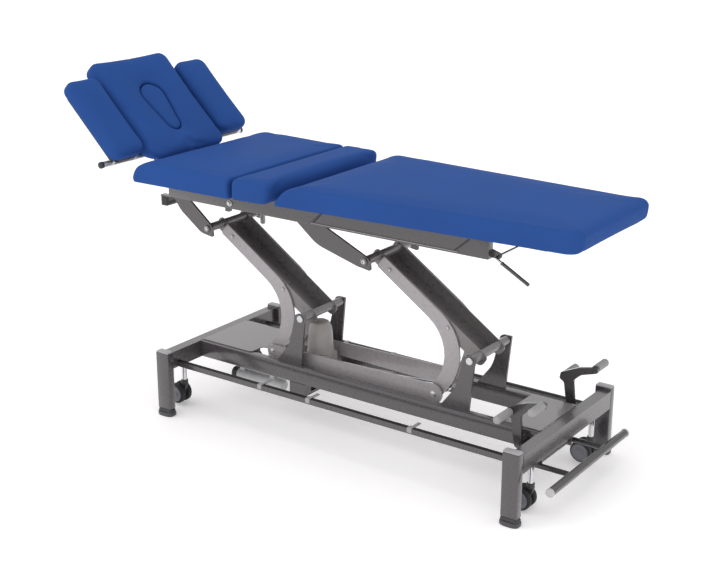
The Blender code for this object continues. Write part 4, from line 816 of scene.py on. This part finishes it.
def pad_form(length, half, thick, corners, roll, draw):
    # Closed quad form of a pad centred on its underside, and the vertices held on the board.
    counts = (max(6, round(2 * length / GRID)), max(6, round(2 * half / GRID)))
    wall = thick - roll - WALL_START
    steps = max(2, round(wall / WALL_STEP))
    profile = list(LIP) + [(0.0, WALL_START + wall * k / steps) for k in range(1, steps + 1)]
    bends = [math.pi / 10 * k for k in range(1, 5)]
    profile += [(roll * (1 - math.cos(a)), thick - roll + roll * math.sin(a)) for a in bends]
    profile.append((roll, thick))
    mesh = bmesh.new()

    def shaped(x, y, height):
        s, t = x / length, y / half
        lift = CROWN * (1 - s ** 4) * (1 - t ** 4) if height >= thick else 0.0
        pull_x = math.copysign(draw, s) * (1 - t * t) * abs(s) ** 6
        pull_y = math.copysign(draw, t) * (1 - s * s) * abs(t) ** 6
        return mesh.verts.new((x - pull_x, y - pull_y, height + lift))

    loops = [pad_loop(length, half, corners, inset, counts) for inset, _ in profile]
    rings = [[shaped(x, y, height) for x, y in loop] for loop, (_, height) in zip(loops, profile)]
    total = len(rings[0])
    for lower, upper in zip(rings, rings[1:]):
        for k in range(total):
            mesh.faces.new((lower[k], lower[(k + 1) % total], upper[(k + 1) % total], upper[k]))
    nx, ny = counts
    held = []
    for ring, loop, height, under in ((rings[-1], loops[-1], thick, False), (rings[0], loops[0], 0.0, True)):
        grid = [[None] * (nx + 1) for _ in range(ny + 1)]
        for j in range(ny + 1):
            grid[j][nx] = ring[j]
            grid[ny - j][0] = ring[ny + nx + j]
        for i in range(nx + 1):
            grid[ny][nx - i] = ring[ny + i]
            grid[0][i] = ring[(2 * ny + nx + i) % total]
        for j, row in enumerate(patch(loop, counts), 1):
            for i, (x, y) in enumerate(row, 1):
                grid[j][i] = shaped(x, y, height)
        for j in range(ny):
            for i in range(nx):
                face = mesh.faces.new((grid[j][i], grid[j][i + 1], grid[j + 1][i + 1], grid[j + 1][i]))
                face.material_index = 1 if under else 0
        if under:
            held = [vert for row in grid for vert in row] + rings[1]
    mesh.verts.index_update()
    bmesh.ops.recalc_face_normals(mesh, faces=mesh.faces)
    return mesh, sorted({vert.index for vert in held})


def swell(thing, held, limit=SWELL_LIMIT):
    # A short pressure run in the cloth solver, with each point's travel capped.
    group = thing.vertex_groups.new(name="held")
    group.add(held, 1.0, "REPLACE")
    cloth = thing.modifiers.new("swell", "CLOTH")
    cloth.settings.quality = 4
    cloth.settings.mass = 0.3
    cloth.settings.tension_stiffness = 12
    cloth.settings.compression_stiffness = 12
    cloth.settings.shear_stiffness = 6
    cloth.settings.bending_stiffness = 4
    cloth.settings.use_pressure = True
    cloth.settings.uniform_pressure_force = 4
    cloth.settings.effector_weights.gravity = 0
    cloth.settings.vertex_group_mass = "held"
    cloth.collision_settings.use_collision = False
    cloth.point_cache.frame_start = 1
    cloth.point_cache.frame_end = SWELL_FRAMES
    scene = bpy.context.scene
    for number in range(1, SWELL_FRAMES + 1):
        scene.frame_set(number)
    ready = thing.evaluated_get(bpy.context.evaluated_depsgraph_get())
    moved = [vert.co.copy() for vert in ready.data.vertices]
    thing.modifiers.remove(cloth)
    thing.vertex_groups.remove(group)
    for vert, spot in zip(thing.data.vertices, moved):
        step = spot - vert.co
        if step.length > limit:
            step *= limit / step.length
        vert.co += step
    scene.frame_set(1)


def upholster(name, mesh, held, body, node, limit=SWELL_LIMIT):
    data = bpy.data.meshes.new(name)
    mesh.to_mesh(data)
    mesh.free()
    data.shade_smooth()
    data.materials.append(vinyl)
    data.materials.append(dust_cover)
    thing = bpy.data.objects.new(name, data)
    bpy.context.collection.objects.link(thing)
    swell(thing, held, limit)
    smooth = thing.modifiers.new("smooth", "SUBSURF")
    smooth.levels = 1
    smooth.render_levels = 1
    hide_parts(node)
    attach(thing, body)
    return thing


PAD_BOTTOM = 0.8441
PAD_THICK = 0.0695
END_REACH = 0.060
FLAT_PADS = {
    "chest": ("chest_pad", (-0.803, -0.3675), (0.338, 0.329), (0.024, 0.024)),
    "top": ("mid_pad", (-0.3595, -0.214), (0.325, 0.317), (0.020, 0.030)),
    "leg_rest": ("leg_pad", (-0.212, 0.852), (0.311, 0.241), (0.024, 0.036)),
}
END_LEANS = {"chest": (0.064, 0.0, 1.0), "top": (0.0, 0.018, 1.0), "leg_rest": (0.080, 0.016, 0.5)}
END_EDGES = {"chest": (1.0, 0.35), "top": (0.45, 0.60), "leg_rest": (1.0, 1.55)}
END_SQUEEZE = {"chest": ("chest_tilt", 0.955), "top": ("leg_tilt", 0.80)}


def leaning(share, height, head_lean, foot_lean, bow):
    # The ends lean to the foot: the head end's top is set back, and the foot end's underside.
    height = min(max(height, 0.0), 1.0)
    set_back = bow * (1 - math.sqrt(1 - height ** 2)) + (1 - bow) * height
    return head_lean * set_back * (1 - share) - foot_lean * (1 - math.sqrt(1 - (1 - height) ** 2)) * share


def tightened(gap, edge):
    # Rounding at an end: a share under 1 tightens it, as against the next pad, and one above 1
    # draws it out, as at the open foot end.
    ease = min(max(gap / END_REACH, 0.0), 1.0)
    return gap * (edge + (1 - edge) * ease * ease * (3 - 2 * ease))


for body, (node, span, halves, corners) in FLAT_PADS.items():
    whole = span[1] - span[0]
    mesh, held = pad_form(whole / 2, halves[0], PAD_THICK, corners, ROLL, FLAT_DRAW)
    for vert in mesh.verts:
        along = tightened(vert.co.x + whole / 2, END_EDGES[body][0])
        along = whole - tightened(whole - along, END_EDGES[body][1])
        slant = leaning(along / whole, vert.co.z / PAD_THICK, *END_LEANS[body])
        narrow = 1 + (halves[1] / halves[0] - 1) * along / whole
        vert.co = (base_x + span[0] + along + slant, vert.co.y * narrow, PAD_BOTTOM + vert.co.z)
    cover = upholster(f"{node}_cover", mesh, held, body, node)
    if body in END_SQUEEZE:
        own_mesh(cover)

# Armrests: narrow foam pads on their boards, in the same vinyl as the table, with full round
# edges at both ends. They hang beside the head pad and drop with their chromed tubes.
ARMREST_X = (-0.3971, -0.0648)
ARMREST_Y = (0.199, 0.353)
ARMREST_BASE = 0.0117
ARMREST_THICK = 0.0475
ARMREST_CORNERS = (0.038, 0.038)
ARMREST_ROLL = 0.019
ARMREST_DRAW = 0.002
for name, side in SIDES:
    length = (ARMREST_X[1] - ARMREST_X[0]) / 2
    half = (ARMREST_Y[1] - ARMREST_Y[0]) / 2
    mesh, held = pad_form(length, half, ARMREST_THICK, ARMREST_CORNERS, ARMREST_ROLL, ARMREST_DRAW)
    centre = Vector((ARMREST_X[0] + length, side * (ARMREST_Y[0] + half), ARMREST_BASE))
    bmesh.ops.transform(mesh, matrix=head_frame_spot @ Matrix.Translation(centre), verts=mesh.verts)
    upholster(f"armrest_pad_{name}_cover", mesh, held, f"armrest_{name}", f"armrest_pad_{name}")

# Head pad: the same foam and vinyl on a board, with a drop-shaped face slot whose lining
# is drawn down through the foam. The slot's rim is rolled like the outer edges, only tighter.
HEAD_PAD_X = (-0.4578, -0.018)
HEAD_HALF = 0.193
HEAD_BASE = -0.0035
HEAD_THICK = 0.0575
SLOT_BIG = (-0.275, 0.057)
SLOT_SMALL = (-0.151, 0.034)
SLOT_ROLL = 0.011
HEAD_CORNERS = (0.038, 0.046)
UNDERCUT_FROM = -0.110
UNDERCUT = (0.034, 0.17)
HEAD_DRAW = 0.003
HEAD_COUNTS = (38, 34)
HEAD_LIP = ((0.012, 0.0), (0.007, 0.0006), (0.0032, 0.0034), (0.0010, 0.0080), (0.0, 0.016), (0.0, 0.025))
SLOT_POINTS = 2400
SLOT_WALL = (0.034, 0.022, 0.010, 0.002, 0.0)
TOP_BANDS = 10
UNDER_BANDS = 6


def drop_outline(grow, count):
    # Two circles of the face slot joined by their tangents, evenly spaced points.
    (ax, ar), (bx, br) = (SLOT_BIG[0], SLOT_BIG[1] + grow), (SLOT_SMALL[0], SLOT_SMALL[1] + grow)
    spread = math.acos((ar - br) / (bx - ax))
    big = [spread + 2 * (math.pi - spread) * k / 240 for k in range(241)]
    small = [-spread + 2 * spread * k / 160 for k in range(161)]
    fine = [(ax + ar * math.cos(a), ar * math.sin(a)) for a in big]
    fine += [(bx + br * math.cos(a), br * math.sin(a)) for a in small]
    lengths = [0.0]
    for i, spot in enumerate(fine):
        after = fine[(i + 1) % len(fine)]
        lengths.append(lengths[-1] + math.dist(spot, after))
    points = []
    i = 0
    for k in range(count):
        want = lengths[-1] * k / count
        while lengths[i + 1] < want:
            i += 1
        share = (want - lengths[i]) / max(lengths[i + 1] - lengths[i], 1e-12)
        after = fine[(i + 1) % len(fine)]
        points.append((fine[i][0] + (after[0] - fine[i][0]) * share, fine[i][1] + (after[1] - fine[i][1]) * share))
    return points


def along_rays(points, rays):
    # The points of a closed outline that lie in the rays' directions, seen from the slot's middle.
    def off(point, ray):
        turn = math.atan2(point[1], point[0] - slot_middle) - ray
        return abs((turn + math.pi) % (2 * math.pi) - math.pi)

    return [min(points, key=lambda point: off(point, ray)) for ray in rays]


def between(first, second, share, height):
    # The ring that lies a share of the way from one ring to another, at one height.
    return [(a[0] + (b[0] - a[0]) * share, a[1] + (b[1] - a[1]) * share, height) for a, b in zip(first, second)]


slot_middle = 0.6 * SLOT_BIG[0] + 0.4 * SLOT_SMALL[0]
length = (HEAD_PAD_X[1] - HEAD_PAD_X[0]) / 2
shift = HEAD_PAD_X[0] + length
head_wall = HEAD_THICK - ROLL
head_profile = list(HEAD_LIP) + [(0.0, head_wall)]
bends = [math.pi / 10 * k for k in range(1, 6)]
head_profile += [(ROLL * (1 - math.cos(a)), head_wall + ROLL * math.sin(a)) for a in bends]
loops = []
for inset, height in head_profile:
    outline = pad_loop(length, HEAD_HALF, HEAD_CORNERS, inset, HEAD_COUNTS)
    loops.append([(x + shift, y, height) for x, y in outline])
outer_top = [(x, y) for x, y, _ in loops[-1]]
outer_low = [(x, y) for x, y, _ in loops[0]]
rays = [math.atan2(y, x - slot_middle) for x, y in outer_top]
rim = along_rays(drop_outline(SLOT_ROLL, SLOT_POINTS), rays)
for k in range(1, TOP_BANDS):
    share = k / TOP_BANDS
    loops.append(between(outer_top, rim, share, HEAD_THICK + CROWN * math.sin(math.pi * share)))
for angle in (0.0, math.pi / 8, math.pi / 4, 3 * math.pi / 8, math.pi / 2):
    ring = along_rays(drop_outline(SLOT_ROLL * (1 - math.sin(angle)), SLOT_POINTS), rays)
    loops.append([(x, y, HEAD_THICK - SLOT_ROLL * (1 - math.cos(angle))) for x, y in ring])
wall = along_rays(drop_outline(0.0, SLOT_POINTS), rays)
for height in SLOT_WALL:
    loops.append([(x, y, height) for x, y in wall])
under_first = len(loops)
for k in range(1, UNDER_BANDS):
    loops.append(between(wall, outer_low, k / UNDER_BANDS, 0.0))
mesh = bmesh.new()
rings = []
for loop in loops:
    ring = []
    for x, y, height in loop:
        s, t = (x - shift) / length, y / HEAD_HALF
        pull_x = math.copysign(HEAD_DRAW, s) * (1 - min(t * t, 1.0)) * min(abs(s), 1.0) ** 6
        pull_y = math.copysign(HEAD_DRAW, t) * (1 - min(s * s, 1.0)) * min(abs(t), 1.0) ** 6
        near_foot = min(max((x - UNDERCUT_FROM) / (HEAD_PAD_X[1] - UNDERCUT_FROM), 0.0), 1.0) ** 2
        under = (1 - min(max(height / HEAD_THICK, 0.0), 1.0)) ** 2 * near_foot
        inward = (y - pull_y) * (1 - UNDERCUT[1] * under)
        ring.append(mesh.verts.new((x - pull_x - UNDERCUT[0] * under, inward, HEAD_BASE + height)))
    rings.append(ring)
for number, lower in enumerate(rings):
    upper = rings[(number + 1) % len(rings)]
    for k in range(len(lower)):
        j = (k + 1) % len(lower)
        face = mesh.faces.new((lower[k], lower[j], upper[j], upper[k]))
        face.material_index = 1 if number >= under_first - 1 else 0
mesh.verts.index_update()
bmesh.ops.recalc_face_normals(mesh, faces=mesh.faces)
held = [vert.index for ring in rings[:2] + rings[under_first - 4:] for vert in ring]
bmesh.ops.transform(mesh, matrix=head_frame_spot, verts=mesh.verts)
upholster("head_pad_cover", mesh, held, "head", "head_pad")

# Face plug: a drop-shaped foam plug in the same vinyl that fills the slot flush with the pad.
# It lifts straight out; its crown is a shallow cushion that dips into the groove round it.
PLUG_EASE = 0.0008
PLUG_SWELL = 0.002
PLUG_POINTS = 72
PLUG_ROWS = ((0.94, 0.002), (0.985, 0.004), (1.0, 0.009), (1.0, 0.022), (1.0, 0.036), (0.99, 0.0445),
             (0.955, 0.0505), (0.90, 0.0540), (0.82, 0.0560), (0.70, 0.0575), (0.54, 0.0585),
             (0.36, 0.0590), (0.18, 0.0592))
outline = drop_outline(-PLUG_EASE, PLUG_POINTS)
mesh = bmesh.new()
rings = []
for share, height in PLUG_ROWS:
    ring = []
    for x, y in outline:
        core = min(max(x, SLOT_BIG[0]), SLOT_SMALL[0])
        ring.append(mesh.verts.new((core + (x - core) * share, y * share, HEAD_BASE + height)))
    rings.append(ring)
for lower, upper in zip(rings, rings[1:]):
    for k in range(len(lower)):
        j = (k + 1) % len(lower)
        mesh.faces.new((lower[k], lower[j], upper[j], upper[k]))
mesh.faces.new(rings[-1])
underside = mesh.faces.new(list(reversed(rings[0])))
underside.material_index = 1
mesh.verts.index_update()
bmesh.ops.recalc_face_normals(mesh, faces=mesh.faces)
held = [vert.index for ring in rings[:5] for vert in ring]
bmesh.ops.transform(mesh, matrix=head_frame_spot, verts=mesh.verts)
upholster("face_plug_cover", mesh, held, "plug", "face_plug", PLUG_SWELL)
